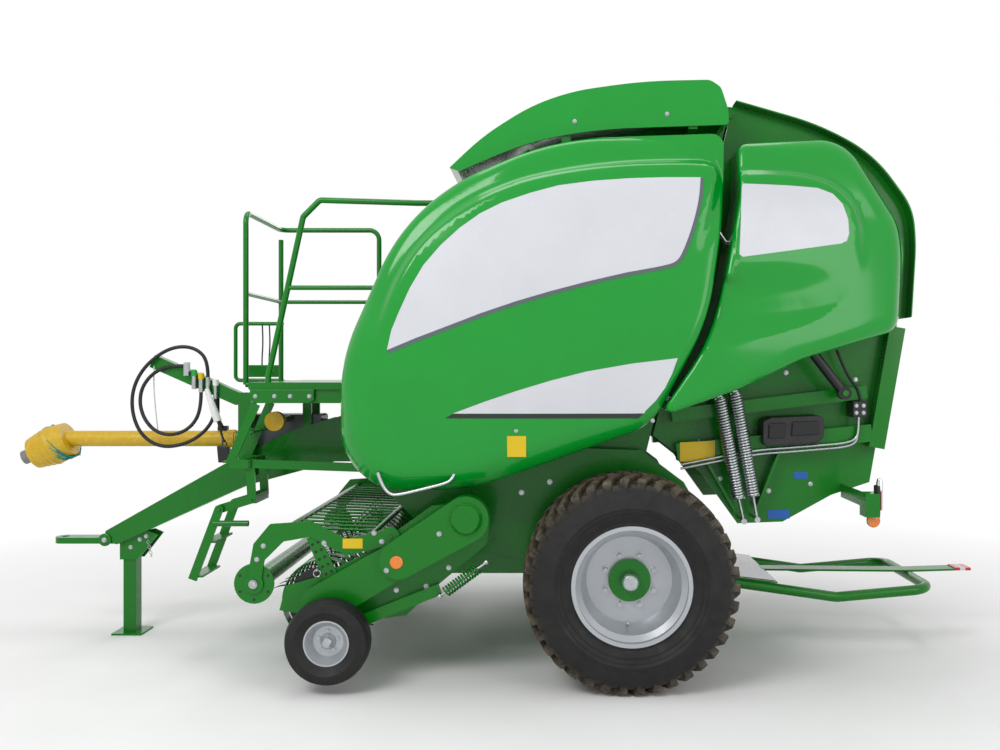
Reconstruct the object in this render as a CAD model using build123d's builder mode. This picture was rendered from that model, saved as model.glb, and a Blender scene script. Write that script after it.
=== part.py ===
from build123d import *
import math
import os

# Round baler with a variable belt chamber, parked on its jack.
# Lengths are in millimetres. +X runs to the rear, +Y to the machine's right
# hand side and +Z up. The origin is on the ground under the middle of the
# whole machine's length and width. Outlines are drawn side-on, as (x, z).

os.makedirs("parts", exist_ok=True)
SIDES = (("left", -1), ("right", 1))

# General fits and plate
seat_gap = 0.3
pin_play = 0.5
cut_overrun = 20
plate = 8
heavy_plate = 12

# Main wheels
wheel_x = 782
wheel_y = 1070
tyre_radius = 565
tyre_width = 500
lug_height = 22
lug_count = 38
lug_length = 42
lug_reach = 236
lug_slant_deg = 22
lug_shoulder_drop = 9
tyre_flank_share = 0.72
tyre_edge_share = 0.93
tyre_shoulder_share = 0.84
tyre_bead_radius = 299
rim_well_radius = 236
rim_flange_radius = 312
rim_width = 420
rim_disc_inset = 190
rim_wall = 8
rim_step = 26
hub_radius = 112
hub_cap_radius = 50
hub_cap_reach = 75
stud_circle_radius = 138
stud_radius = 11
stud_reach = 30
stud_count = 8
axle_size = 130
axle_end_y = 780
axle_flange = 150

# Chassis and drawbar
chassis_y = 716
chassis_front_x = -660
chassis_length = 1940
chassis_bottom_z = 460
chassis_height = 920
chassis_outline_shares = (
    (0, 1), (0, 0.674), (0.186, 0.283), (0.443, 0.152), (0.66, 0), (0.83, 0),
    (1, 0.152), (1, 0.326), (0.918, 0.63), (0.794, 0.826), (0.34, 0.859), (0.186, 1),
)
cross_tube = 110
drawbar_length = 1800
drawbar_front_x = chassis_front_x - drawbar_length
drawbar_bottom_z = 572
drawbar_height = 807
drawbar_width = 240
drawbar_side = 15
drawbar_fork_share = 0.48
drawbar_outline_shares = (
    (0, 0.035), (0.006, 0.105), (0.427, 0.629), (0.672, 0.902), (0.817, 1),
    (1, 1), (1, 0.654), (0.817, 0.654), (0.506, 0.466), (0.046, 0),
)
drawbar_taper_share = 0.34
drawbar_nose_width = 150
tongue_reach = 334
tongue_tip_x = drawbar_front_x - tongue_reach
tongue_width = 120
tongue_thickness = 38
tongue_z = 592
hitch_eye_x = tongue_tip_x + 58
hitch_eye_radius = 25

# Bale chamber and tailgate
hinge_x = 1390
hinge_z = 3145
hinge_pin_radius = 25
hinge_ear_radius = 45
chamber_inside = 1240
chamber_wall_y = chamber_inside / 2 + plate / 2
tailgate_wall_y = chamber_wall_y + 2 * plate
chamber_front_x = -700
chamber_length = hinge_x - chamber_front_x
chamber_bottom_z = 800
chamber_height = hinge_z - chamber_bottom_z
chamber_outline_shares = (
    (1, 1), (0.766, 0.964), (0.455, 0.888), (0.191, 0.719), (0.038, 0.486),
    (0, 0.254), (0.12, 0.063), (0.383, 0), (0.694, 0.025), (0.773, 0.169),
)
chamber_softness = (0, 0, 0, 1, 1, 0, 0, 0, 0, 0)
roller_radius = 105
tailgate_front_x = 955
tailgate_length = 1400
tailgate_bottom_z = 793
tailgate_height = 2447
tailgate_outline_shares = (
    (1.007, 0.482), (0.889, 0.097), (0.732, 0.067), (0.532, 0.004), (0.346, 0),
    (0.196, 0.119), (0, 0.207),
)

# Side covers
cover_wall = 14
cover_edge_radius = 20
cover_crown_radius = 7300
front_cover_x = -800
front_cover_z = 1020
front_cover_length = 2105
front_cover_height = 1940
cover_root_y = 960
cover_bottom_y = 1105
cover_middle_y = 1205
cover_top_y = 1045
cover_middle_share = 0.42
front_cover_shares = (
    (1, 1, 0.03), (0.58, 0.985, 0.7), (0.202, 0.816, 0.5), (0.026, 0.392, 0.55),
    (0, 0, 0.165), (0.352, 0.005, 0.5), (0.81, 0.188, 0.14), (0.95, 0.479, 0.55),
    (0.998, 0.814, 1),
)
rear_cover_x = 930
rear_cover_z = 1425
rear_cover_length = 1450
rear_cover_height = 1560
rear_cover_root_y = 730.3
rear_cover_depth_z = 240
rear_trim_share = 0.7
rear_cover_shares = (
    (0.317, 0.955, 0.04), (0.745, 1, 0.18), (1, 0.638, 0.3), (0.945, 0.304, 0.09),
    (0.545, 0.199, 0.4), (0.297, 0.093, 0.3), (0, 0, 0.02), (0.21, 0.285, 0.8),
    (0.314, 0.766, 0.35),
)
cover_hinge_y = 905
cover_hinge_z = 2915
cover_hinge_radius = 12

# Top hood and front hood
spoiler_front_x = -194
spoiler_length = 1539
spoiler_bottom_z = 2770
spoiler_height = 503
spoiler_half_width = 900
spoiler_wall = 12
spoiler_outline_shares = (
    (0, 0.034), (0.121, 0.384), (0.291, 0.712), (0.441, 0.875), (0.692, 0.985),
    (0.933, 1), (0.972, 0.922), (1, 0.662), (1, 0.509), (0.542, 0.46),
    (0.291, 0.329), (0.035, 0),
)
hood_softness = (0, 1, 1, 0, 0, 1, 1, 0)
spoiler_softness = (0.3, 1, 1, 1, 1, 0.6, 0.6, 1, 0.5, 1, 1, 0.3)
hood_half_width = 930

# Pick-up
pickup_pivot_x = -80
pickup_pivot_z = 894
pickup_pivot_radius = 45
pickup_side_y = 1052
reel_x = -854
reel_z = 434
reel_tip_radius = 300
reel_bar_circle = 160
reel_bar_radius = 14
reel_shaft_radius = 35
reel_half_width = 1030
tine_thickness = 6
tine_trail = 34
tine_bend_share = 0.55
tine_tip_share = 0.985
tine_pairs = 17
tine_bars = 5
band_radius = 226
band_start_deg = 30
band_sweep_deg = 195
band_width = 72
gauge_x = -787
gauge_z = 273
gauge_y = 1222
gauge_tyre_radius = 218
gauge_tyre_width = 156
gauge_rim_radius = 118
gauge_axle_radius = 16
chain_cover_width = 84
upper_cover_end_radius = 121
lower_cover_x = -431
lower_cover_z = 681
lower_cover_end_radius = 100
guard_pivot_x = -490
guard_pivot_z = 788
guard_arm_y = 1071
guard_roller_x = -1218
guard_roller_z = 536
guard_roller_radius = 52
guard_flange_radius = 107
guard_rod_radius = 8

# Platform, rails and ladder
platform_front_x = -1373
platform_rear_x = -752
platform_half_width = 650
platform_top_z = 1604
platform_thickness = 40
rail_radius = 17
rail_top_z = 2655
rail_mid_z = 2150
ladder_pivot_x = -1542
ladder_pivot_z = 874
ladder_rail_width = 50
ladder_rail_depth = 12

# Drive shaft, gearbox, hose arm
shaft_z = 1236
shaft_guard_radius = 50
shaft_guard_front_x = -2750
shaft_guard_rear_x = -1640
gearbox_x = (-1560, -1080)
gearbox_z = (1110, 1395)
gearbox_input_length = 53.3
gearbox_corner = 20
gearbox_width = 196
cone_tip_x = -3030
yoke_bore_radius = 17.5
arm_size = 80
arm_y = -200
arm_tip = (-2090, 1730)
arm_root = (-1560, 1495)
hose_radius = 11

# Jack
jack_reach = 150
jack_x = drawbar_front_x + jack_reach
jack_pivot_z = 505
jack_leg = 82
jack_foot = 190

# Kicker
kicker_pivot_x = 1000
kicker_pivot_z = 500
kicker_tube_radius = 30
kicker_y = 430
kicker_tip_x = 3030

# Tailgate cylinders and springs
cylinder_y = 850
cylinder_low = (1993, 1548)
cylinder_high = (1270, 2480)
barrel_radius = 28
rod_radius = 16
spring_y = 800
spring_radius = 39

shell_half_width = 730
shell_thickness = 6
shell_front_x = 1420
shell_length = 1020
shell_bottom_z = 1980
shell_height = 1225
shell_outline_shares = ((0, 1), (0.46, 0.89), (0.765, 0.751), (0.98, 0.506), (1, 0.343), (0.975, 0))
shell_softness = (0, 1, 1, 1, 1, 0)
belt_thickness = 8
belt_width = 180
belt_count = 6
belt_pitch = 200

cone_overlap = 40
cone_mouth_radius = 125
cone_drop = 95
yoke_length = 70
yoke_radius = 45
side_guard_y = -450
side_guard_radius = 57
side_guard_width = 60
side_shaft_radius = 20
chamber_roller_shares = ((0.17, 0.16), (0.64, 0.075), (0.12, 0.42))
spoiler_tube = 50
spoiler_tube_places = ((450, 2935), (1150, 3030))
cover_hinge_x = (520, 1130)
cover_pin_length = 60
rod_eye_radius = 36
rod_eye_width = 44
barrel_length = 760
platform_skirt = 80
rail_bend_x = -1062
rail_bend = 96
rail_rear_x = -400
guard_post_x = -1530
guard_post_y = -180
right_rail_rear_x = -840
rope_frame_x = -1860
rope_frame_z = (1600, 2000)
ladder_outer_y = -650
ladder_inner_y = -345
upper_ladder_top = (-1330, 1480)
upper_ladder_foot = (-1480, 1135)
carrier_bend = (-1360, 930)
carrier_rear = (-668, 1110)
ladder_foot = (-1694, 470)
ladder_grip = 200
arm_post = 480
coupler_radius = 15
coupler_length = 110
coupler_shares = (0.25, 0.34, 0.42, 0.5)
stay_share = 0.32
stay_radius = 16
stay_knee_y = -120
pin_reach = 6
kicker_knee = (1490, 403)
kicker_dip = (2070, 320)
kicker_end = (2640, 370)
kicker_plate_length = 230
kicker_strap_width = 120
rib_depth = 86
rib_shares = (
    (0.07, 0.255, 0.86, 0.31, 0.03), (0.09, 0.17, 0.88, 0.215, 0.04),
    (0.2, 0.16, 0.33, 0.03, 0.006), (0.52, 0.19, 0.415, 0.04, 0.006),
    (0.9, 0.18, 0.985, 0.46, 0.036),
)
tailgate_roller_shares = ((0.93, 0.6), (0.87, 0.2), (0.45, 0.07))
small_roller_radius = 60
spring_rod_radius = 9
spring_rows = (
    ((1311, 1520), (1417, 957), (1445, 830)),
    ((1397, 1549), (1498, 971), (1520, 840)),
)
lamp_x = 2110
lamp_y = 1050
lamp_z = 870
lamp_bracket = 75
lamp_width = 110
lamp_radius = 36
leg_shares = (0.72, 0.9)
rear_plan_shares = ((0.45, 1.05), (0.86, 0.86), (1, 0.6))
rotor_x = (-330, 330)
rotor_z = (520, 740)
pickup_x = -1085
pickup_z = 330
pickup_length = 1130
pickup_height = 690
pickup_side_shares = (
    (0, 0.09), (0.03, 0.28), (0.16, 0.34), (0.4, 0.52), (0.72, 0.9), (0.93, 0.93), (1, 0.82),
    (0.98, 0.6), (0.76, 0.3), (0.6, 0.05), (0.35, 0),
)
pickup_tube = 70
pickup_tube_shares = ((0.5, 0.36), (0.6, 0.47))
tine_pitch = 116
guard_gap = 34
gauge_arm_size = 40
gauge_arm_rear = (-225, 512)
gauge_arm_front = (-640, 345)
guard_arm_length = 728
guard_arm_height = 252
guard_arm_thickness = 10
guard_arm_shares = (
    (-0.05, 0.05), (0.0, 0.85), (0.12, 1.27), (0.42, 1.33), (0.68, 0.95), (1.03, 1.2),
    (1.03, 0.85), (0.68, 0.6), (0.42, 1.0), (0.22, 0.9), (0.08, 0.5), (0.05, -0.05),
)
guard_cross_shares = ((0.2, 1.1), (0.86, 1.02))
guard_cross_radius = 16
guard_rod_count = 16
guard_rod_pitch = 120
guard_pin_radius = 12
supply_route = (
    (-1692.5, -255.3, 1498.4), (-1692.5, -255.3, 1405), (-1745, -275, 1300), (-1860, -290, 1222),
    (-2010, -296, 1200), (-2130, -296, 1270), (-2190, -292, 1400), (-2195, -284, 1545),
    (-2140, -274, 1675), (-2035, -266, 1775), (-1925, -262, 1822), (-1815, -257, 1810),
    (-1740.2, -255.3, 1735), (-1740.2, -255.3, 1630.2),
)
return_route = (
    (-1782.6, -255.3, 1538.4), (-1782.6, -255.3, 1430), (-1830, -285, 1325), (-1930, -300, 1275),
    (-2035, -305, 1292), (-2110, -302, 1368), (-2145, -295, 1468), (-2135, -284, 1570),
    (-2075, -268, 1655), (-1985, -257, 1700), (-1885.3, -257, 1700),
)
hose_clamp = ((-1885, 1640), (-1855, 1722))


def at_y(y):
    """Side-on drawing plane at the given y, with x to the right and z up."""
    return Plane.XZ.offset(-y)


def local(point):
    """Place of a point on a side-on drawing plane."""
    return (point.X, point.Z)


def spread(shares, x, z, length, height):
    """Turn shares of a box into points."""
    return [(x + row[0] * length, z + row[1] * height) for row in shares]


def side_face(points, y, radius=0):
    """Closed side-on outline with all its corners rounded alike."""
    with BuildSketch(at_y(y)) as face:
        with BuildLine():
            Polyline(*points, close=True)
        make_face()
        if radius:
            fillet(face.vertices(), radius)
    return face.sketch


def smooth_radii(points, softness):
    """Corner radii of a closed outline, as shares of the largest that fit beside each other."""
    radii = []
    for number, share in enumerate(softness):
        here = Vector(*points[number])
        before = here - Vector(*points[number - 1])
        after = Vector(*points[(number + 1) % len(points)]) - here
        turn = math.radians(before.get_angle(after))
        shorter = min(before.length, after.length)
        radii.append(0.48 * share * shorter / math.tan(max(turn, 0.01) / 2))
    return radii


def smooth_plate(points, softness, y, thickness, mode=Mode.ADD):
    """Plate whose closed outline has its corners rounded by their softness."""
    with BuildSketch(at_y(y)) as face:
        with BuildLine():
            FilletPolyline(*points, radius=smooth_radii(points, softness), close=True)
        make_face()
    extrude(face.sketch, amount=thickness / 2, both=True, mode=mode)


def side_plate(points, y, thickness, radius=0):
    """Flat plate standing along the machine, centred on y."""
    extrude(side_face(points, y, radius), amount=thickness / 2, both=True)


def soft_outline(rows, x, z, length, height, y, inset=0):
    """Outline with a radius of its own at each corner, given as shares of the length."""
    points = spread(rows, x, z, length, height)
    radii = [row[2] * length for row in rows]
    with BuildSketch(at_y(y)) as face:
        with BuildLine():
            FilletPolyline(*points, radius=radii, close=True)
        make_face()
        if inset:
            offset(amount=-inset)
    return face.sketch


def bar(start, end, radius, hole=0):
    """Round bar or pipe between two points."""
    direction = Vector(*end) - Vector(*start)
    with BuildSketch(Plane(origin=start, z_dir=direction)) as ring:
        Circle(radius)
        if hole:
            Circle(hole, mode=Mode.SUBTRACT)
    extrude(ring.sketch, amount=direction.length)


def beam(start, end, width, depth):
    """Rectangular bar between two points, its width along y."""
    direction = Vector(*end) - Vector(*start)
    across = Vector(0, 1, 0)
    with BuildSketch(Plane(origin=start, x_dir=across, z_dir=direction)) as section:
        Rectangle(width, depth)
    extrude(section.sketch, amount=direction.length)


def pipe(points, radius, bend):
    """Bent round tube through the points."""
    with BuildLine() as route:
        FilletPolyline(*points, radius=bend)
    with BuildSketch(Plane(origin=route.line @ 0, z_dir=route.line % 0)) as ring:
        Circle(radius)
    sweep(sections=ring.sketch, path=route.line)


def block(low, high, mode=Mode.ADD):
    """Box between two corners."""
    size = [high[i] - low[i] for i in range(3)]
    middle = [(high[i] + low[i]) / 2 for i in range(3)]
    with Locations(tuple(middle)):
        Box(*size, mode=mode)


def disc(x, y, z, radius, width, mode=Mode.ADD):
    """Round disc with its axis along y, centred on y."""
    with BuildSketch(at_y(y)) as ring:
        with Locations((x, z)):
            Circle(radius)
    extrude(ring.sketch, amount=width / 2, both=True, mode=mode)


def save(part, name):
    """Label a finished piece and write its file."""
    part.label = name
    export_step(part, "parts/" + name + ".step")


# Main wheels
# Each tyre, its silver rim and its green hub turn together on the stub axle.
def tyre_ring(crown_radius, shoulder_drop):
    """Closed tyre section of the left wheel, turned round its axle."""
    mid = -wheel_y
    half = tyre_width / 2
    bead_y = rim_width / 2 - seat_gap
    flank_z = tyre_radius + tyre_radius * tyre_flank_share
    shoulder_y = half * tyre_shoulder_share
    with BuildSketch(Plane.YZ.offset(wheel_x)) as section:
        with BuildLine():
            Polyline(
                (mid - bead_y, tyre_radius + tyre_bead_radius),
                (mid - bead_y, tyre_radius + rim_flange_radius + 2 * rim_wall),
                (mid - half, flank_z),
                (mid - half + shoulder_drop, tyre_radius + crown_radius * tyre_edge_share),
                (mid - shoulder_y, tyre_radius + crown_radius - shoulder_drop),
            )
            ThreePointArc(
                (mid - shoulder_y, tyre_radius + crown_radius - shoulder_drop),
                (mid, tyre_radius + crown_radius),
                (mid + shoulder_y, tyre_radius + crown_radius - shoulder_drop),
            )
            Polyline(
                (mid + shoulder_y, tyre_radius + crown_radius - shoulder_drop),
                (mid + half - shoulder_drop, tyre_radius + crown_radius * tyre_edge_share),
                (mid + half, flank_z),
                (mid + bead_y, tyre_radius + rim_flange_radius + 2 * rim_wall),
                (mid + bead_y, tyre_radius + tyre_bead_radius),
            )
            Line(
                (mid + bead_y, tyre_radius + tyre_bead_radius),
                (mid - bead_y, tyre_radius + tyre_bead_radius),
            )
        make_face()
    return section.sketch


wheel_axis = Axis((wheel_x, 0, tyre_radius), (0, 1, 0))
with BuildPart() as lug_blanks:
    # Slanted bars from each shoulder to past the middle of the tread
    for lug_side in (-1, 1):
        for number in range(lug_count):
            angle = 360 * (number + (0.5 if lug_side > 0 else 0)) / lug_count
            base = Plane.XY.offset(tyre_radius + tyre_radius * tyre_flank_share)
            foot = Plane(origin=(wheel_x, -wheel_y, 0)) * base
            bar_shape = foot * Pos(0, lug_side * lug_reach / 2) * Rot(0, 0, lug_side * lug_slant_deg)
            blank = bar_shape * Box(
                lug_length,
                lug_reach,
                tyre_radius,
                align=(Align.CENTER, Align.CENTER, Align.MIN),
                mode=Mode.PRIVATE,
            )
            add(blank.rotate(wheel_axis, angle))
with BuildPart() as left_tyre:
    revolve(tyre_ring(tyre_radius, lug_shoulder_drop), axis=wheel_axis)
    add(lug_blanks.part, mode=Mode.INTERSECT)
    revolve(tyre_ring(tyre_radius - lug_height, 2 * lug_shoulder_drop), axis=wheel_axis)
tyres = {"left": left_tyre.part, "right": left_tyre.part.mirror(Plane.XZ)}

for side_name, side in SIDES:
    tyre_mid = side * wheel_y
    save(tyres[side_name], "tyre_" + side_name)

    with BuildPart() as rim:
        outer_y = tyre_mid + side * rim_width / 2
        disc_y = outer_y - side * rim_disc_inset
        well = rim_well_radius
        seat = tyre_bead_radius - seat_gap
        with BuildSketch(Plane.YZ.offset(wheel_x)) as section:
            with BuildLine():
                Polyline(
                    (outer_y + side * rim_wall, tyre_radius + rim_flange_radius),
                    (outer_y, tyre_radius + rim_flange_radius),
                    (outer_y, tyre_radius + seat),
                    (tyre_mid - side * rim_width / 2, tyre_radius + seat),
                    (tyre_mid - side * rim_width / 2, tyre_radius + rim_flange_radius),
                    (tyre_mid - side * (rim_width / 2 + rim_wall), tyre_radius + rim_flange_radius),
                    (tyre_mid - side * (rim_width / 2 + rim_wall), tyre_radius + seat - rim_wall),
                    (disc_y - side * rim_wall, tyre_radius + well + rim_step),
                    (disc_y - side * rim_wall, tyre_radius + hub_radius),
                    (disc_y, tyre_radius + hub_radius),
                    (disc_y, tyre_radius + well - rim_wall),
                    (disc_y + side * rim_step, tyre_radius + well),
                    (outer_y - side * 2 * rim_step, tyre_radius + well + rim_step),
                    (outer_y - side * rim_step, tyre_radius + seat - rim_wall),
                    (outer_y + side * rim_wall, tyre_radius + seat - rim_wall),
                    close=True,
                )
            make_face()
        revolve(section.sketch, axis=Axis((wheel_x, 0, tyre_radius), (0, 1, 0)))
        for number in range(stud_count):
            angle = 2 * math.pi * (number + 0.5) / stud_count
            stud_x = wheel_x + stud_circle_radius * math.cos(angle)
            stud_z = tyre_radius + stud_circle_radius * math.sin(angle)
            disc(stud_x, disc_y + side * stud_reach / 2, stud_z, stud_radius, stud_reach)
    save(rim.part, "rim_" + side_name)

    with BuildPart() as hub:
        hub_inner = side * (axle_end_y + seat_gap)
        hub_face = disc_y + side * rim_step
        with BuildSketch(Plane.YZ.offset(wheel_x)) as section:
            with BuildLine():
                Polyline(
                    (hub_inner, tyre_radius),
                    (hub_inner, tyre_radius + hub_cap_radius),
                    (disc_y - side * 2 * rim_step, tyre_radius + hub_radius * 0.7),
                    (disc_y - side * rim_step, tyre_radius + hub_radius - seat_gap),
                    (hub_face, tyre_radius + hub_radius - seat_gap),
                    (hub_face, tyre_radius + hub_cap_radius),
                    (hub_face + side * hub_cap_reach, tyre_radius + hub_cap_radius * 0.9),
                    (hub_face + side * hub_cap_reach, tyre_radius),
                    close=True,
                )
            make_face()
        revolve(section.sketch, axis=Axis((wheel_x, 0, tyre_radius), (0, 1, 0)))
    save(hub.part, "hub_" + side_name)

# Axle
with BuildPart() as axle_beam:
    block(
        (wheel_x - axle_size / 2, -axle_end_y + plate, tyre_radius - axle_size / 2),
        (wheel_x + axle_size / 2, axle_end_y - plate, tyre_radius + axle_size / 2),
    )
    for side_name, side in SIDES:
        disc(wheel_x, side * (axle_end_y - plate / 2), tyre_radius, axle_flange / 2, plate)
save(axle_beam.part, "axle_beam")

# Chassis
# Two long side plates joined by cross tubes. The axle passes through them.
with BuildPart() as chassis:
    points = spread(chassis_outline_shares, chassis_front_x, chassis_bottom_z, chassis_length, chassis_height)
    for side_name, side in SIDES:
        side_plate(points, side * chassis_y, heavy_plate)
    front_tube_x = chassis_front_x + cross_tube / 2
    front_tube_z = drawbar_bottom_z + drawbar_height - cross_tube
    rear_tube_x = chassis_front_x + chassis_length - cross_tube
    rear_tube_z = chassis_bottom_z + chassis_height * 0.25
    half = chassis_y - heavy_plate / 2
    for tube_x, tube_z in ((front_tube_x, front_tube_z), (rear_tube_x, rear_tube_z)):
        block(
            (tube_x - cross_tube / 2, -half, tube_z - cross_tube / 2),
            (tube_x + cross_tube / 2, half, tube_z + cross_tube / 2),
        )
    for side_name, side in SIDES:
        # Lugs that carry the kicker
        lug_y = side * (kicker_y + kicker_tube_radius + heavy_plate)
        side_plate(
            [
                (kicker_pivot_x - kicker_tube_radius, kicker_pivot_z - 2 * kicker_tube_radius),
                (kicker_pivot_x + kicker_tube_radius, kicker_pivot_z - 2 * kicker_tube_radius),
                (rear_tube_x, rear_tube_z),
                (rear_tube_x - cross_tube / 2, rear_tube_z + cross_tube / 2),
            ],
            lug_y,
            heavy_plate,
        )
        pin_length = 2 * (kicker_tube_radius + heavy_plate)
        disc(kicker_pivot_x, side * kicker_y, kicker_pivot_z, rod_radius, pin_length)
        # Pivot tube that carries the pick-up
        disc(
            pickup_pivot_x,
            side * (chassis_y + pickup_side_y) / 2,
            pickup_pivot_z,
            pickup_pivot_radius,
            pickup_side_y - chassis_y + 2 * plate,
        )
    block(
        (wheel_x - axle_size / 2, -chassis_y - plate, tyre_radius - axle_size / 2),
        (wheel_x + axle_size / 2, chassis_y + plate, tyre_radius + axle_size / 2),
        mode=Mode.SUBTRACT,
    )
save(chassis.part, "chassis")

# Drawbar
# A box at the front that opens into a fork round the gearbox.
with BuildPart() as drawbar:
    points = spread(drawbar_outline_shares, drawbar_front_x, drawbar_bottom_z, drawbar_length, drawbar_height)
    side_plate(points, 0, drawbar_width)
    fork_x = drawbar_front_x + drawbar_fork_share * drawbar_length
    inner = drawbar_width / 2 - drawbar_side
    block(
        (fork_x, -inner, drawbar_bottom_z),
        (chassis_front_x + cut_overrun, inner, drawbar_bottom_z + drawbar_height + cut_overrun),
        mode=Mode.SUBTRACT,
    )
    taper_x = drawbar_front_x + drawbar_taper_share * drawbar_length
    with BuildSketch(Plane.XY.offset(drawbar_bottom_z)) as plan:
        with BuildLine():
            Polyline(
                (drawbar_front_x, -drawbar_nose_width / 2),
                (taper_x, -drawbar_width / 2),
                (chassis_front_x, -drawbar_width / 2),
                (chassis_front_x, drawbar_width / 2),
                (taper_x, drawbar_width / 2),
                (drawbar_front_x, drawbar_nose_width / 2),
                close=True,
            )
        make_face()
    extrude(plan.sketch, amount=drawbar_height + cut_overrun, mode=Mode.INTERSECT)
    with BuildSketch(Plane.XY.offset(tongue_z - tongue_thickness / 2)) as tongue:
        with Locations(((tongue_tip_x + drawbar_front_x + tongue_width) / 2, 0)):
            Rectangle(drawbar_front_x + tongue_width - tongue_tip_x, tongue_width)
        fillet(tongue.vertices().group_by(Axis.X)[0], tongue_width * 0.45)
        with Locations((hitch_eye_x, 0)):
            Circle(hitch_eye_radius, mode=Mode.SUBTRACT)
    extrude(tongue.sketch, amount=tongue_thickness)
    for side_name, side in SIDES:
        # Legs up to the platform
        for leg_share in leg_shares:
            leg_x = drawbar_front_x + leg_share * drawbar_length
            outer_y = side * drawbar_width / 2
            inner_y = side * (drawbar_width / 2 - drawbar_side)
            block(
                (leg_x - cross_tube / 4, min(outer_y, inner_y), drawbar_bottom_z + drawbar_height * 0.75),
                (leg_x + cross_tube / 4, max(outer_y, inner_y), platform_top_z - platform_thickness),
            )
        # Ears that carry the jack
        side_plate(
            [
                (jack_x - jack_leg * 0.7, jack_pivot_z - jack_leg * 0.4),
                (jack_x + jack_leg * 0.7, jack_pivot_z - jack_leg * 0.4),
                (jack_x + jack_leg * 2.2, drawbar_bottom_z + jack_leg * 0.7),
                (jack_x + jack_leg * 1.5, drawbar_bottom_z + jack_leg),
                (jack_x - jack_leg * 0.7, drawbar_bottom_z + jack_leg * 0.3),
            ],
            side * (jack_leg / 2 + pin_reach / 2 + heavy_plate / 2),
            heavy_plate,
        )
    disc(jack_x, 0, jack_pivot_z, rod_radius - pin_play, jack_leg + pin_reach + 2 * heavy_plate)
save(drawbar.part, "drawbar")

# Gearbox
with BuildPart() as gearbox:
    block(
        (gearbox_x[0], -gearbox_width / 2, gearbox_z[0]),
        (gearbox_x[1], gearbox_width / 2, gearbox_z[1]),
    )
    fillet(gearbox.edges().filter_by(Axis.Y), gearbox_corner)
    side_shaft_x = gearbox_x[0] + (gearbox_x[1] - gearbox_x[0]) * 0.6
    side_shaft_z = gearbox_z[1] - 1.2 * side_shaft_radius
    input_x = gearbox_x[0] - gearbox_input_length
    bar((input_x, 0, shaft_z), (gearbox_x[0], 0, shaft_z), shaft_guard_radius * 0.6)
    for side_name, side in SIDES:
        foot = side * gearbox_width / 2
        block(
            (gearbox_x[0] + heavy_plate, min(foot, foot + side * 6.7), gearbox_z[0] + heavy_plate),
            (gearbox_x[1] - heavy_plate, max(foot, foot + side * 6.7), gearbox_z[0] + 4 * heavy_plate),
        )
    # Output shaft to the left, above the drawbar
    shaft_outer = side_guard_y + side_guard_width / 2 + seat_gap
    bar((side_shaft_x, 0, side_shaft_z), (side_shaft_x, shaft_outer, side_shaft_z), side_shaft_radius)
save(gearbox.part, "gearbox")


# Drive shaft
# It lies level with no tractor behind it, and its joint hangs down in a cone.
with BuildPart() as shaft_guards:
    cone_root_x = shaft_guard_front_x + cone_overlap
    bar((shaft_guard_front_x, 0, shaft_z), (shaft_guard_rear_x, 0, shaft_z), shaft_guard_radius)
    slope = Vector(cone_tip_x + cone_mouth_radius * 0.75 - cone_root_x, 0, -cone_drop)
    with BuildSketch(Plane(origin=(cone_root_x, 0, shaft_z), z_dir=slope)) as root_ring:
        Circle(cone_mouth_radius * 0.86)
    with BuildSketch(
        Plane(origin=Vector(cone_root_x, 0, shaft_z) + slope * 0.45, z_dir=slope)
    ) as middle_ring:
        Circle(cone_mouth_radius)
    with BuildSketch(Plane(origin=Vector(cone_root_x, 0, shaft_z) + slope, z_dir=slope)) as mouth_ring:
        Circle(cone_mouth_radius * 0.8)
    loft(sections=[root_ring.sketch, middle_ring.sketch, mouth_ring.sketch], ruled=True)
    disc(side_shaft_x, side_guard_y, side_shaft_z, side_guard_radius, side_guard_width)
save(shaft_guards.part, "shaft_guards")

with BuildPart() as shaft_yoke:
    mouth = Vector(cone_root_x, 0, shaft_z) + slope
    yoke_slope = slope.normalized()
    yoke_start = mouth + yoke_slope * seat_gap
    yoke_end = yoke_start + yoke_slope * yoke_length
    bar(tuple(yoke_start), tuple(yoke_end), yoke_radius, yoke_bore_radius)
save(shaft_yoke.part, "shaft_yoke")

# Chamber
# Two side walls that carry the front rollers, the rotor housing and the hinge shaft.
with BuildPart() as chamber:
    points = spread(chamber_outline_shares, chamber_front_x, chamber_bottom_z, chamber_length, chamber_height)
    for side_name, side in SIDES:
        smooth_plate(points, chamber_softness, side * chamber_wall_y, plate)
    shaft_half = tailgate_wall_y + 3 * plate
    disc(hinge_x, 0, hinge_z, hinge_pin_radius, 2 * shaft_half)
    for share_x, share_z in chamber_roller_shares:
        disc(
            chamber_front_x + share_x * chamber_length,
            0,
            chamber_bottom_z + share_z * chamber_height,
            roller_radius,
            chamber_inside,
        )
    # Cross tubes that carry the top hood
    for tube_x, tube_z in spoiler_tube_places:
        reach = spoiler_half_width - spoiler_wall - seat_gap
        half = spoiler_tube / 2
        block((tube_x - half, -reach, tube_z - half), (tube_x + half, reach, tube_z + half))
    # Notches for the chassis cross tube
    block(
        (front_tube_x - cross_tube / 2 - seat_gap, -chassis_y, front_tube_z - cross_tube / 2 - seat_gap),
        (front_tube_x + cross_tube / 2 + seat_gap, chassis_y, front_tube_z + cross_tube / 2 + seat_gap),
        mode=Mode.SUBTRACT,
    )
save(chamber.part, "chamber")

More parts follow.
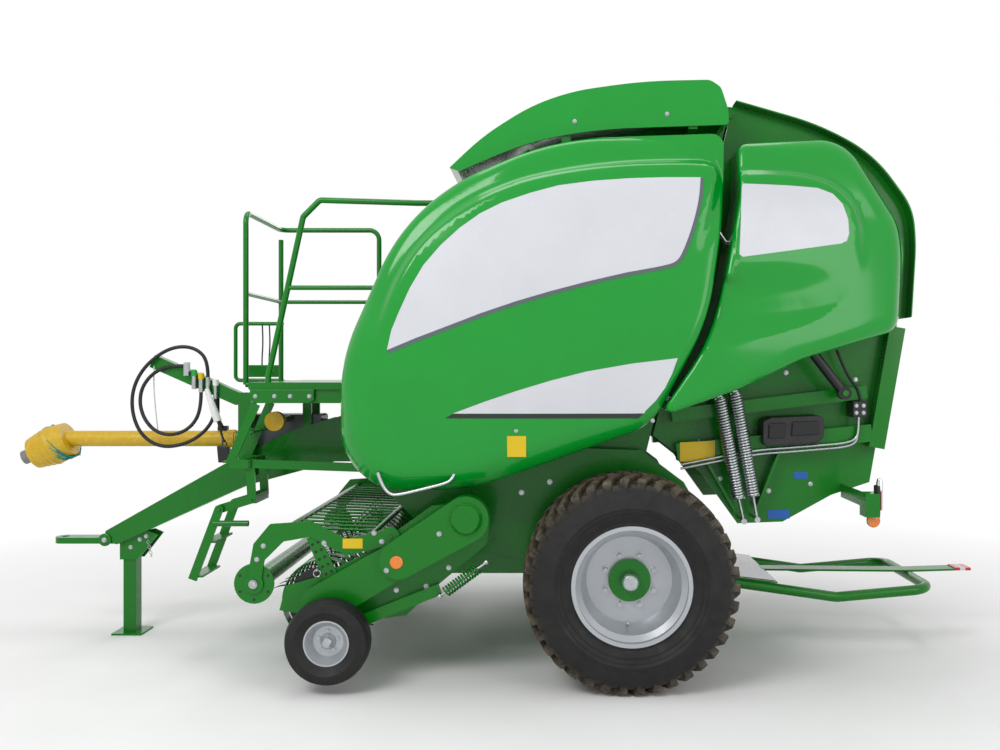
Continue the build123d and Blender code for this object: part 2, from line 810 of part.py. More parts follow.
# Arms and pins of the side covers' hinges
arm_inner_y = chamber_wall_y + plate / 2 + seat_gap
with BuildPart() as cover_arms:
    for side_name, side in SIDES:
        for arm_x in cover_hinge_x:
            inner_y = side * arm_inner_y
            outer_y = side * (cover_hinge_y + cover_hinge_radius)
            block(
                (arm_x - plate, min(inner_y, outer_y), cover_hinge_z - 3 * cover_hinge_radius),
                (arm_x + plate, max(inner_y, outer_y), cover_hinge_z + cover_hinge_radius),
            )
            bar(
                (arm_x, side * cover_hinge_y, cover_hinge_z),
                (arm_x + cover_pin_length, side * cover_hinge_y, cover_hinge_z),
                cover_hinge_radius,
            )
save(cover_arms.part, "cover_arms")

# Forks that hold the upper ends of the tailgate cylinders
with BuildPart() as cylinder_forks:
    ear_x = cylinder_high[0]
    ear_z = cylinder_high[1]
    fork_back_x = ear_x - 2 * hinge_ear_radius
    for side_name, side in SIDES:
        for ear_y in (cylinder_y - rod_eye_width / 2 - plate, cylinder_y + rod_eye_width / 2 + plate):
            side_plate(
                [
                    (fork_back_x, ear_z - hinge_ear_radius),
                    (ear_x + rod_eye_radius, ear_z - rod_eye_radius),
                    (ear_x + rod_eye_radius, ear_z + rod_eye_radius),
                    (fork_back_x, ear_z + hinge_ear_radius),
                ],
                side * ear_y,
                plate,
            )
        inner_y = side * arm_inner_y
        back_y = side * (cylinder_y + rod_eye_width / 2 + plate * 1.5)
        block(
            (fork_back_x - plate, min(inner_y, back_y), ear_z - hinge_ear_radius),
            (fork_back_x + plate, max(inner_y, back_y), ear_z + hinge_ear_radius),
        )
save(cylinder_forks.part, "cylinder_forks")

# Rotor and knife housing, a heavy closed unit between the chassis plates
with BuildPart() as rotor_housing:
    half = chassis_y - heavy_plate / 2 - seat_gap
    block((rotor_x[0], -half, rotor_z[0]), (rotor_x[1], half, rotor_z[1]))
    fillet(rotor_housing.edges().filter_by(Axis.Y), (rotor_z[1] - rotor_z[0]) * 0.3)
save(rotor_housing.part, "rotor_housing")

# Front hood
# A bent sheet over the front edges of the chamber walls.
with BuildPart() as front_hood:
    front = spread(chamber_outline_shares, chamber_front_x, chamber_bottom_z, chamber_length, chamber_height)
    front = [front[5], front[4], front[3], front[2]]
    near = [(x - seat_gap, z + seat_gap) for x, z in front]
    far = [(x - seat_gap - plate, z + seat_gap + plate / 2) for x, z in reversed(front)]
    smooth_plate(near + far, hood_softness, 0, 2 * hood_half_width)
save(front_hood.part, "front_hood")

# Top hood
with BuildPart() as spoiler:
    points = spread(spoiler_outline_shares, spoiler_front_x, spoiler_bottom_z, spoiler_length, spoiler_height)
    smooth_plate(points, spoiler_softness, 0, 2 * spoiler_half_width)
    inner_points = spread(
        spoiler_outline_shares,
        spoiler_front_x + 3 * spoiler_wall,
        spoiler_bottom_z - 2 * spoiler_wall,
        spoiler_length - 6 * spoiler_wall,
        spoiler_height,
    )
    cavity = inner_points[:-3] + [
        (inner_points[-4][0], inner_points[-1][1] - spoiler_height),
        (inner_points[0][0], inner_points[-1][1] - spoiler_height),
    ]
    cavity_softness = spoiler_softness[:-4] + (0, 0, 0)
    smooth_plate(cavity, cavity_softness, 0, 2 * (spoiler_half_width - spoiler_wall), Mode.SUBTRACT)
    for side_name, side in SIDES:
        notch = hinge_ear_radius * 0.6
        middle = side * (chamber_wall_y + plate)
        block(
            (hinge_x - 3 * hinge_ear_radius, middle - notch, spoiler_bottom_z),
            (hinge_x, middle + notch, hinge_z + hinge_ear_radius + plate),
            mode=Mode.SUBTRACT,
        )
save(spoiler.part, "spoiler")

# Platform
with BuildPart() as platform:
    block(
        (platform_front_x, -platform_half_width, platform_top_z - platform_thickness),
        (platform_rear_x, platform_half_width, platform_top_z),
    )
    skirt_z = platform_top_z - platform_thickness - platform_skirt
    for side_name, side in SIDES:
        side_plate(
            [
                (platform_front_x, platform_top_z - platform_thickness),
                (platform_front_x + platform_skirt / 3, skirt_z),
                (platform_rear_x - platform_skirt, skirt_z),
                (platform_rear_x, platform_top_z - platform_thickness),
            ],
            side * (platform_half_width - 2 * heavy_plate),
            heavy_plate,
        )
save(platform.part, "platform")

# Rails round the platform
with BuildPart() as platform_rails:
    edge = platform_half_width - rail_radius
    foot_x = platform_front_x + cross_tube
    pipe(
        [
            (foot_x, -edge, platform_top_z),
            (foot_x, -edge, platform_top_z + 2 * rail_radius),
            (rail_bend_x, -edge, rail_top_z - rail_bend),
            (rail_bend_x + rail_bend, -edge, rail_top_z),
            (rail_rear_x, -edge, rail_top_z - rail_radius),
        ],
        rail_radius,
        rail_radius * 1.9,
    )
    pipe(
        [
            (guard_post_x, guard_post_y, platform_top_z - platform_thickness / 2),
            (guard_post_x, guard_post_y, rail_top_z),
            (guard_post_x, edge, rail_top_z),
            (right_rail_rear_x, edge, rail_top_z),
            (right_rail_rear_x, edge, platform_top_z),
        ],
        rail_radius,
        rail_radius * 4,
    )
    bar((guard_post_x, guard_post_y, rail_mid_z), (guard_post_x, edge, rail_mid_z), rail_radius * 0.8)
    bar((guard_post_x, edge, rail_mid_z), (right_rail_rear_x, edge, rail_mid_z), rail_radius * 0.8)
    deck_z = platform_top_z - platform_thickness / 2
    bar((guard_post_x, edge, deck_z), (guard_post_x, edge, rail_top_z - 4 * rail_radius), rail_radius)
    for brace_y in (guard_post_y, edge):
        bar((guard_post_x, brace_y, deck_z), (platform_front_x - seat_gap, brace_y, deck_z), rail_radius)
    slope_share = (rail_mid_z - platform_top_z) / (rail_top_z - rail_bend - platform_top_z)
    near_mid_x = foot_x + (rail_bend_x - foot_x) * slope_share
    chamber_box = (chamber_front_x, chamber_bottom_z, chamber_length, chamber_height)
    hood_low = spread(chamber_outline_shares[4:5], *chamber_box)[0]
    hood_high = spread(chamber_outline_shares[3:4], *chamber_box)[0]
    hood_share = (rail_mid_z - 2 * rail_radius - hood_low[1]) / (hood_high[1] - hood_low[1])
    hood_x = hood_low[0] + (hood_high[0] - hood_low[0]) * hood_share - 2 * plate
    bar((near_mid_x, -edge, rail_mid_z), (hood_x, -edge, rail_mid_z), rail_radius * 0.8)
    # Frame for the net ropes ahead of the platform
    pipe(
        [
            (guard_post_x, edge + 2 * rail_radius, rope_frame_z[0]),
            (rope_frame_x, edge + 2 * rail_radius, rope_frame_z[0]),
            (rope_frame_x, edge + 2 * rail_radius, rope_frame_z[1]),
            (guard_post_x, edge + 2 * rail_radius, rope_frame_z[1]),
        ],
        rail_radius * 0.8,
        rail_radius * 2,
    )
    for height in rope_frame_z:
        disc(guard_post_x, edge + rail_radius, height, rail_radius * 0.8, 2 * rail_radius)
save(platform_rails.part, "platform_rails")

# Fixed ladder under the platform and the arm that carries the folding one
with BuildPart() as ladder_upper:
    for rail_y in (ladder_outer_y, ladder_inner_y):
        beam(
            (upper_ladder_top[0], rail_y, upper_ladder_top[1]),
            (upper_ladder_foot[0], rail_y, upper_ladder_foot[1]),
            ladder_rail_depth,
            ladder_rail_width,
        )
    for share in (0.45, 0.95):
        step_x = upper_ladder_top[0] + (upper_ladder_foot[0] - upper_ladder_top[0]) * share
        step_z = upper_ladder_top[1] + (upper_ladder_foot[1] - upper_ladder_top[1]) * share
        block(
            (step_x - ladder_rail_width, ladder_outer_y, step_z - ladder_rail_depth),
            (step_x + ladder_rail_width, ladder_inner_y, step_z),
        )
    # Carrier arms from the chassis to the folding ladder's pivot
    arm_y_low = ladder_outer_y + 2 * ladder_rail_depth
    arm_y_high = ladder_inner_y - 2 * ladder_rail_depth
    for carrier_y in (arm_y_low, arm_y_high):
        beam(
            (ladder_pivot_x, carrier_y, ladder_pivot_z),
            (carrier_bend[0], carrier_y, carrier_bend[1]),
            ladder_rail_depth,
            ladder_rail_width,
        )
        beam(
            (carrier_bend[0], carrier_y, carrier_bend[1]),
            (upper_ladder_foot[0] + cross_tube, carrier_y, upper_ladder_foot[1]),
            ladder_rail_depth,
            ladder_rail_width,
        )
        disc(ladder_pivot_x, carrier_y, ladder_pivot_z, ladder_rail_width / 2, ladder_rail_depth)
    for rail_y, carrier_y in ((ladder_outer_y, arm_y_low), (ladder_inner_y, arm_y_high)):
        outward = (rail_y - carrier_y) / 2
        boss_y = (rail_y + carrier_y + outward) / 2
        disc(ladder_pivot_x, boss_y, ladder_pivot_z, ladder_rail_depth, abs(3 * outward))
    block(
        (carrier_bend[0] - ladder_rail_width / 2, arm_y_low, carrier_bend[1] - ladder_rail_width / 2),
        (carrier_bend[0] + ladder_rail_width / 2, arm_y_high, carrier_bend[1] + ladder_rail_width / 2),
    )
    for rail_y in (ladder_outer_y, ladder_inner_y):
        beam(
            (upper_ladder_foot[0], rail_y, upper_ladder_foot[1]),
            (upper_ladder_foot[0] + cross_tube, rail_y, upper_ladder_foot[1]),
            ladder_rail_depth,
            ladder_rail_width,
        )
    foot_x = upper_ladder_foot[0] + cross_tube
    foot_z = upper_ladder_foot[1]
    block(
        (foot_x - plate, ladder_outer_y, foot_z - ladder_rail_width / 2),
        (foot_x + plate, ladder_inner_y, foot_z + ladder_rail_width / 2),
    )
    # Long arm back to the front edge of the chassis plate
    beam(
        (upper_ladder_foot[0] + cross_tube, arm_y_low, upper_ladder_foot[1]),
        (carrier_rear[0], arm_y_low, carrier_rear[1]),
        ladder_rail_depth,
        ladder_rail_width,
    )
    rear_x, rear_z = carrier_rear
    block(
        (rear_x - plate, -chassis_y, rear_z - ladder_rail_width / 2),
        (chassis_front_x - seat_gap, arm_y_low + ladder_rail_depth, rear_z + ladder_rail_width / 2),
    )
save(ladder_upper.part, "ladder_upper")

with BuildPart() as ladder_lower:
    for rail_y in (ladder_outer_y, ladder_inner_y):
        beam(
            (ladder_pivot_x, rail_y, ladder_pivot_z),
            (ladder_foot[0], rail_y, ladder_foot[1]),
            ladder_rail_depth,
            ladder_rail_width,
        )
        disc(ladder_pivot_x, rail_y, ladder_pivot_z, ladder_rail_width / 2, ladder_rail_depth)
    for share in (0.45, 0.94):
        step_x = ladder_pivot_x + (ladder_foot[0] - ladder_pivot_x) * share
        step_z = ladder_pivot_z + (ladder_foot[1] - ladder_pivot_z) * share
        block(
            (step_x - ladder_rail_width / 2, ladder_outer_y, step_z - ladder_rail_depth),
            (step_x + ladder_rail_width, ladder_inner_y, step_z),
        )
    # Grip for folding it
    grip_x = ladder_pivot_x + (ladder_foot[0] - ladder_pivot_x) * 0.2
    grip_z = ladder_pivot_z + (ladder_foot[1] - ladder_pivot_z) * 0.2
    bar((grip_x, ladder_outer_y, grip_z), (grip_x + ladder_grip, ladder_outer_y, grip_z), rail_radius)
    for rail_y in (ladder_outer_y, ladder_inner_y):
        disc(
            ladder_pivot_x,
            rail_y,
            ladder_pivot_z,
            ladder_rail_depth + pin_play,
            2 * ladder_rail_depth,
            mode=Mode.SUBTRACT,
        )
save(ladder_lower.part, "ladder_lower")

# Hose holder
with BuildPart() as hose_arm:
    beam((arm_root[0], arm_y, arm_root[1]), (arm_tip[0], arm_y, arm_tip[1]), arm_size, arm_size)
    post_y = -drawbar_width / 2 - seat_gap
    block(
        (arm_root[0], arm_y - arm_size / 2, arm_root[1] - arm_post),
        (arm_root[0] + arm_size, post_y, arm_root[1] + arm_size / 2),
    )
save(hose_arm.part, "hose_arm")

# Parked hose couplers along the arm's near side
arm_run = Vector(arm_tip[0] - arm_root[0], 0, arm_tip[1] - arm_root[1])
coupler_y = arm_y - arm_size / 2 - coupler_radius - seat_gap
with BuildPart() as couplers:
    for share in coupler_shares:
        base = Vector(arm_root[0], coupler_y, arm_root[1]) + arm_run * share
        half = Vector(0, 0, coupler_length / 2)
        bar(tuple(base - half), tuple(base + half), coupler_radius)
    # Clamp that the return hose ends in
    block(
        (hose_clamp[0][0], arm_y - arm_size / 2 - 2 * coupler_radius, hose_clamp[0][1]),
        (hose_clamp[1][0], arm_y - arm_size / 2 - seat_gap, hose_clamp[1][1]),
    )
save(couplers.part, "couplers")

# Hoses
# Each leaves its coupler downwards, hangs in a loop ahead of the arm and returns to the arm.
for hose_name, route in (
    ("hose_supply", supply_route),
    ("hose_return", return_route),
):
    points = [Vector(*point) for point in route]
    radii = []
    for number in range(1, len(points) - 1):
        before = points[number] - points[number - 1]
        after = points[number + 1] - points[number]
        turn = math.radians(before.get_angle(after))
        shorter = min(before.length, after.length)
        radii.append(0.45 * shorter / math.tan(turn / 2))
    with BuildPart() as hose:
        with BuildLine() as path:
            FilletPolyline(*route, radius=radii)
        with BuildSketch(Plane(origin=path.line @ 0, z_dir=path.line % 0)) as ring:
            Circle(hose_radius)
        sweep(sections=ring.sketch, path=path.line)
    save(hose.part, hose_name)

# Stay that holds the drive shaft up while it is off the tractor
with BuildPart() as shaft_stay:
    hook_x = arm_root[0] + arm_run.X * stay_share
    knee = (hook_x, stay_knee_y, shaft_z + 3 * shaft_guard_radius)
    foot_z = shaft_z + shaft_guard_radius + stay_radius + seat_gap
    hook_z = arm_root[1] + arm_run.Z * stay_share - stay_radius
    block(
        (hook_x - stay_radius, arm_y + arm_size / 2 + seat_gap, hook_z),
        (hook_x + stay_radius, stay_knee_y, hook_z + 2 * stay_radius),
    )
    bar((hook_x, stay_knee_y, hook_z), knee, stay_radius)
    bar(knee, (hook_x, 0, foot_z), stay_radius * 0.6)
    bar((hook_x - 2 * stay_radius, 0, foot_z), (hook_x + 2 * stay_radius, 0, foot_z), stay_radius)
save(shaft_stay.part, "shaft_stay")

# Jack
with BuildPart() as jack:
    jack_top = jack_pivot_z + jack_leg / 2
    half_leg = jack_leg / 2
    block((jack_x - half_leg, -half_leg, heavy_plate), (jack_x + half_leg, half_leg, jack_top))
    block((jack_x - jack_foot / 2, -jack_foot / 2, 0), (jack_x + jack_foot / 2, jack_foot / 2, heavy_plate))
    disc(jack_x, 0, jack_pivot_z, rod_radius, jack_leg + 2 * pin_reach, mode=Mode.SUBTRACT)
save(jack.part, "jack")

# Kicker
# A bent hoop behind the tailgate that the bale rolls off, with a plate and a middle strap.
with BuildPart() as kicker:
    loop_low = [
        (kicker_pivot_x, kicker_y, kicker_pivot_z),
        (kicker_knee[0], kicker_y, kicker_knee[1]),
        (kicker_dip[0], kicker_y, kicker_dip[1]),
        (kicker_end[0], kicker_y, kicker_end[1]),
    ]
    loop = [(x, -y, z) for x, y, z in loop_low] + list(reversed(loop_low))
    pipe(loop, kicker_tube_radius, kicker_tube_radius * 4)
    for side_name, side in SIDES:
        eye_radius = kicker_tube_radius * 1.2
        disc(kicker_pivot_x, side * kicker_y, kicker_pivot_z, eye_radius, 2 * kicker_tube_radius)
        disc(
            kicker_pivot_x,
            side * kicker_y,
            kicker_pivot_z,
            rod_radius + pin_play,
            4 * kicker_tube_radius,
            mode=Mode.SUBTRACT,
        )
    beam(
        (kicker_knee[0], 0, kicker_knee[1] + kicker_tube_radius),
        (kicker_knee[0] + kicker_plate_length, 0, kicker_knee[1] + kicker_tube_radius * 0.1),
        2 * kicker_y,
        plate,
    )
    beam(
        (kicker_knee[0] + kicker_plate_length * 0.8, 0, kicker_knee[1] + kicker_tube_radius * 0.2),
        (kicker_end[0], 0, kicker_end[1] + kicker_tube_radius),
        kicker_strap_width,
        heavy_plate,
    )
    beam(
        (kicker_end[0], 0, kicker_end[1] + kicker_tube_radius),
        (kicker_tip_x, 0, kicker_end[1] + kicker_tube_radius * 1.4),
        kicker_strap_width,
        heavy_plate,
    )
save(kicker.part, "kicker")

# Tailgate walls
with BuildPart() as tailgate_walls:
    skin = spread(shell_outline_shares, shell_front_x, shell_bottom_z, shell_length, shell_height)
    inset = shell_thickness + seat_gap
    points = [(x - inset, z - inset) for x, z in skin]
    points += spread(
        tailgate_outline_shares, tailgate_front_x, tailgate_bottom_z, tailgate_length, tailgate_height
    )
    wall_softness = shell_softness + (0,) * len(tailgate_outline_shares)
    for side_name, side in SIDES:
        smooth_plate(points, wall_softness, side * tailgate_wall_y, plate)
        disc(hinge_x, side * tailgate_wall_y, hinge_z, hinge_ear_radius, plate)
        rib_inner = side * (tailgate_wall_y + plate / 2)
        for row in rib_shares:
            ends = spread(
                ((row[0], row[1]), (row[2], row[3])),
                tailgate_front_x,
                tailgate_bottom_z,
                tailgate_length,
                tailgate_height,
            )
            beam(
                (ends[0][0], rib_inner + side * rib_depth / 2, ends[0][1]),
                (ends[1][0], rib_inner + side * rib_depth / 2, ends[1][1]),
                rib_depth,
                row[4] * tailgate_height,
            )
        # Pin that carries the cylinder
        pin_outer = cylinder_y + barrel_radius + plate
        disc(
            cylinder_low[0],
            side * (tailgate_wall_y + pin_outer) / 2,
            cylinder_low[1],
            rod_radius,
            pin_outer - tailgate_wall_y,
        )
    disc(hinge_x, 0, hinge_z, hinge_pin_radius + pin_play, 4 * tailgate_wall_y, mode=Mode.SUBTRACT)
save(tailgate_walls.part, "tailgate_walls")

# Tailgate skin
with BuildPart() as tailgate_shell:
    outer = spread(shell_outline_shares, shell_front_x, shell_bottom_z, shell_length, shell_height)
    inner = [(x - shell_thickness, z - shell_thickness) for x, z in reversed(outer)]
    smooth_plate(outer + inner, shell_softness + shell_softness, 0, 2 * shell_half_width)
save(tailgate_shell.part, "tailgate_shell")

# Rollers and belts at the back of the tailgate
roller_places = spread(
    tailgate_roller_shares, tailgate_front_x, tailgate_bottom_z, tailgate_length, tailgate_height
)
with BuildPart() as tailgate_rollers:
    for roller_x, roller_z in roller_places:
        disc(roller_x, 0, roller_z, small_roller_radius, 2 * (belt_count * belt_pitch / 2))
        disc(roller_x, 0, roller_z, small_roller_radius * 0.4, 2 * (tailgate_wall_y - plate / 2 - seat_gap))
save(tailgate_rollers.part, "tailgate_rollers")

with BuildPart() as tailgate_belts:
    first, second, third = roller_places
    down = Vector(second[0] - first[0], second[1] - first[1]).normalized()
    forward = Vector(third[0] - second[0], third[1] - second[1]).normalized()
    out_down = Vector(-down.Y, down.X)
    out_forward = Vector(-forward.Y, forward.X)
    corner_way = (out_down + out_forward) / (1 + out_down.dot(out_forward))
    near = []
    far = []
    for centre, way in ((first, out_down), (second, corner_way), (third, out_forward)):
        inner_place = Vector(*centre) + way * (small_roller_radius + seat_gap)
        outer_place = Vector(*centre) + way * (small_roller_radius + seat_gap + belt_thickness)
        near.append((inner_place.X, inner_place.Y))
        far.insert(0, (outer_place.X, outer_place.Y))
    for number in range(belt_count):
        belt_y = (number - (belt_count - 1) / 2) * belt_pitch
        side_plate(near + far, belt_y, belt_width)
save(tailgate_belts.part, "tailgate_belts")

# Twin springs on each side of the tailgate
with BuildPart() as tailgate_springs:
    for side_name, side in SIDES:
        for top, foot, anchor in spring_rows:
            bar((top[0], side * spring_y, top[1]), (foot[0], side * spring_y, foot[1]), spring_radius)
            outer_y = side * spring_y
            bar((foot[0], outer_y, foot[1]), (anchor[0], outer_y, anchor[1]), spring_rod_radius)
            # Pins that hold both ends off the tailgate's wall
            pin_inner = tailgate_wall_y + plate / 2 + seat_gap
            for pin_x, pin_z in (top, anchor):
                disc(pin_x, side * (pin_inner + spring_y) / 2, pin_z, spring_rod_radius, spring_y - pin_inner)
save(tailgate_springs.part, "tailgate_springs")

# Tail lamps on their brackets
with BuildPart() as tail_lamps:
    for side_name, side in SIDES:
        inner_y = side * (tailgate_wall_y + plate / 2 + seat_gap)
        outer_y = side * lamp_y
        block(
            (lamp_x - lamp_bracket, min(inner_y, outer_y), lamp_z + lamp_bracket),
            (lamp_x - lamp_bracket + heavy_plate, max(inner_y, outer_y), lamp_z + 2 * lamp_bracket),
        )
        block(
            (lamp_x - lamp_bracket, outer_y - lamp_width / 2, lamp_z + lamp_bracket / 3),
            (lamp_x, outer_y + lamp_width / 2, lamp_z + 2 * lamp_bracket),
        )
        disc(lamp_x - lamp_bracket / 4, outer_y, lamp_z, lamp_radius, plate)
        post_x = lamp_x - lamp_bracket / 4
        bar((post_x, outer_y, lamp_z), (post_x, outer_y, lamp_z + lamp_bracket / 2), plate / 2)
save(tail_lamps.part, "tail_lamps")

# Tailgate cylinders
# The barrel turns on the tailgate and its rod's eye stands in the chamber's fork.
cylinder_line = Vector(cylinder_high[0] - cylinder_low[0], 0, cylinder_high[1] - cylinder_low[1])
cylinder_way = cylinder_line.normalized()
for side_name, side in SIDES:
    low = Vector(cylinder_low[0], side * cylinder_y, cylinder_low[1])
    high = Vector(cylinder_high[0], side * cylinder_y, cylinder_high[1])
    barrel_end = low + cylinder_way * barrel_length
    with BuildPart() as barrel:
        bar(
            tuple(low + cylinder_way * rod_radius),
            tuple(barrel_end),
            barrel_radius,
        )
        disc(cylinder_low[0], side * cylinder_y, cylinder_low[1], rod_eye_radius, 2 * barrel_radius)
        disc(
            cylinder_low[0],
            side * cylinder_y,
            cylinder_low[1],
            rod_radius + pin_play,
            4 * barrel_radius,
            mode=Mode.SUBTRACT,
        )
        with BuildSketch(Plane(origin=low + cylinder_way * 2 * rod_eye_radius, z_dir=cylinder_way)) as bore:
            Circle(rod_radius + pin_play)
        extrude(bore.sketch, amount=cylinder_line.length, mode=Mode.SUBTRACT)
    save(barrel.part, "cylinder_barrel_" + side_name)
    with BuildPart() as rod:
        bar(
            tuple(low + cylinder_way * 3 * rod_eye_radius),
            tuple(high - cylinder_way * rod_eye_radius * 0.8),
            rod_radius,
        )
        eye_width = rod_eye_width - 2 * pin_play
        disc(cylinder_high[0], side * cylinder_y, cylinder_high[1], rod_eye_radius, eye_width)
    save(rod.part, "cylinder_rod_" + side_name)


def crown(side, inset):
    """Doubly curved body whose outer face is the bulge of the side covers."""
    middle_x = front_cover_x + front_cover_length / 2
    low_z = front_cover_z - cut_overrun
    high_z = front_cover_z + front_cover_height + cut_overrun
    spin = Axis((middle_x, side * (cover_middle_y - cover_crown_radius), 0), (0, 0, 1))
    middle_z = front_cover_z + cover_middle_share * front_cover_height
    half_turn = math.degrees(rear_cover_length * 1.6 / cover_crown_radius)
    with BuildPart() as body:
        with BuildSketch(Plane.YZ.offset(middle_x)) as section:
            with BuildLine():
                bulge = ThreePointArc(
                    (side * (cover_bottom_y - inset), low_z),
                    (side * (cover_middle_y - inset), middle_z),
                    (side * (cover_top_y - inset), high_z),
                )
                Polyline(bulge @ 1, (0, high_z), (0, low_z), bulge @ 0)
            make_face()
        revolve(section.sketch, axis=spin, revolution_arc=2 * half_turn)
    return body.part.rotate(spin, -half_turn)


def cover_body(rows, box, side, inset, root_y):
    """Cover block cut from the crown by its outline, with its outer edge rounded."""
    x, z, length, height = box
    turned = crown(side, inset)
    with BuildPart() as cover:
        extrude(
            soft_outline(rows, x, z, length, height, side * root_y, inset),
            amount=-side * (cover_middle_y - root_y + cut_overrun),
        )
        add(turned, mode=Mode.INTERSECT)
        if root_y <= rear_cover_root_y:
            with BuildSketch(Plane.XY.offset(z - cut_overrun)) as plan:
                with BuildLine():
                    corner = ThreePointArc(
                        *(
                            (x + length * along_share - inset, side * out_share * cover_middle_y)
                            for along_share, out_share in rear_plan_shares
                        )
                    )
                    Polyline(
                        corner @ 1,
                        (x + length - inset, 0),
                        (x - cut_overrun, 0),
                        (x - cut_overrun, side * rear_plan_shares[0][1] * cover_middle_y),
                        corner @ 0,
                    )
                make_face()
            extrude(plan.sketch, amount=height + 2 * cut_overrun, mode=Mode.INTERSECT)
    return cover.part


front_cover_box = (front_cover_x, front_cover_z, front_cover_length, front_cover_height)
rear_cover_box = (rear_cover_x, rear_cover_z, rear_cover_length, rear_cover_height)
outer_body = cover_body(front_cover_shares, front_cover_box, -1, 0, cover_root_y)
crown_face = outer_body.faces().sort_by(Axis.Y)[0]
outer_body = outer_body.solids()[0].fillet(cover_edge_radius, crown_face.outer_wire().edges())
inner_body = cover_body(front_cover_shares, front_cover_box, -1, cover_wall, cover_root_y - cut_overrun)
with BuildPart() as cover_skin:
    add(outer_body)
    add(inner_body, mode=Mode.SUBTRACT)
cover_skins = {"left": cover_skin.part, "right": cover_skin.part.mirror(Plane.XZ)}
for side_name, side in SIDES:
    with BuildPart() as front_cover:
        add(cover_skins[side_name])
        for arm_x in cover_hinge_x:
            ear_start = arm_x + plate + 2 * seat_gap + cover_wall / 2
            with BuildSketch(Plane.YZ.offset(ear_start)) as ear:
                with BuildLine():
                    Polyline(
                        (side * (cover_hinge_y - 2 * cover_hinge_radius), cover_hinge_z - cover_hinge_radius),
                        (side * (cover_hinge_y - 2 * cover_hinge_radius), cover_hinge_z + cover_hinge_radius),
                        (side * (cover_root_y + 3 * cover_wall), cover_hinge_z + cover_hinge_radius),
                        (side * (cover_root_y + 3 * cover_wall), cover_hinge_z - 3 * cover_hinge_radius),
                        close=True,
                    )
                make_face()
                with Locations((side * cover_hinge_y, cover_hinge_z)):
                    Circle(cover_hinge_radius + pin_play, mode=Mode.SUBTRACT)
            extrude(ear.sketch, amount=2 * plate)
    save(front_cover.part, "front_cover_" + side_name)

outer_body = cover_body(rear_cover_shares, rear_cover_box, -1, 0, rear_cover_root_y)
inner_body = cover_body(rear_cover_shares, rear_cover_box, -1, cover_wall, rear_cover_root_y - cut_overrun)
with BuildPart() as rear_skin:
    add(outer_body)
    add(inner_body, mode=Mode.SUBTRACT)
    block(
        (rear_cover_x - cut_overrun, -cover_root_y, rear_cover_z - cut_overrun),
        (
            rear_cover_x + rear_cover_length * rear_trim_share,
            2 * cut_overrun - rear_cover_root_y,
            rear_cover_z + rear_cover_height - rear_cover_depth_z,
        ),
        mode=Mode.SUBTRACT,
    )
with BuildPart() as rear_covers:
    add(rear_skin.part)
    add(rear_skin.part.mirror(Plane.XZ))
save(rear_covers.part, "rear_covers")

# Pick-up
# Its own frame turns on the chassis. The reel, the crop guard and the gauge wheels hang from it.
with BuildPart() as pickup_frame:
    side_points = spread(pickup_side_shares, pickup_x, pickup_z, pickup_length, pickup_height)
    for side_name, side in SIDES:
        side_plate(side_points, side * pickup_side_y, plate)
        disc(pickup_pivot_x, side * pickup_side_y, pickup_pivot_z, pickup_pivot_radius * 1.8, plate)
        disc(
            pickup_pivot_x,
            side * pickup_side_y,
            pickup_pivot_z,
            pickup_pivot_radius + pin_play,
            4 * plate,
            mode=Mode.SUBTRACT,
        )
        disc(reel_x, side * pickup_side_y, reel_z, reel_shaft_radius + pin_play, 4 * plate, mode=Mode.SUBTRACT)
        guard_pin_end = guard_arm_y + guard_arm_thickness
        disc(
            guard_pivot_x,
            side * (pickup_side_y + guard_pin_end) / 2,
            guard_pivot_z,
            guard_pin_radius,
            guard_pin_end - pickup_side_y,
        )
    half = pickup_side_y - plate / 2
    for share_x, share_z in pickup_tube_shares:
        tube_x = pickup_x + share_x * pickup_length
        tube_z = pickup_z + share_z * pickup_height
        block(
            (tube_x - pickup_tube / 2, -half, tube_z - pickup_tube / 2),
            (tube_x + pickup_tube / 2, half, tube_z + pickup_tube / 2),
        )
save(pickup_frame.part, "pickup_frame")

# Bands between the rows of tines, each bent round the reel and fixed at the back
with BuildPart() as stripper_bands:
    count = tine_pairs + 1
    foot_way = Vector(math.cos(math.radians(band_start_deg)), 0, math.sin(math.radians(band_start_deg)))
    carrier_x = reel_x + (reel_tip_radius + 2 * heavy_plate) * foot_way.X
    carrier_z = reel_z + (reel_tip_radius + 2 * heavy_plate) * foot_way.Z
    for number in range(count):
        band_y = (number - (count - 1) / 2) * tine_pitch
        with BuildSketch(at_y(band_y)) as band:
            with BuildLine():
                outer = CenterArc((reel_x, reel_z), band_radius, band_start_deg, band_sweep_deg)
                inner_radius = band_radius - belt_thickness / 2
                inner = CenterArc((reel_x, reel_z), inner_radius, band_start_deg, band_sweep_deg)
                Line(outer @ 0, inner @ 0)
                Line(outer @ 1, inner @ 1)
            make_face()
        extrude(band.sketch, amount=band_width / 2, both=True)
        # Straight foot out to the carrier behind the tines
        beam(
            (reel_x + inner_radius * foot_way.X, band_y, reel_z + inner_radius * foot_way.Z),
            (carrier_x, band_y, carrier_z),
            band_width,
            belt_thickness / 2,
        )
    bar((carrier_x, -half + seat_gap, carrier_z), (carrier_x, half - seat_gap, carrier_z), heavy_plate)
save(stripper_bands.part, "stripper_bands")

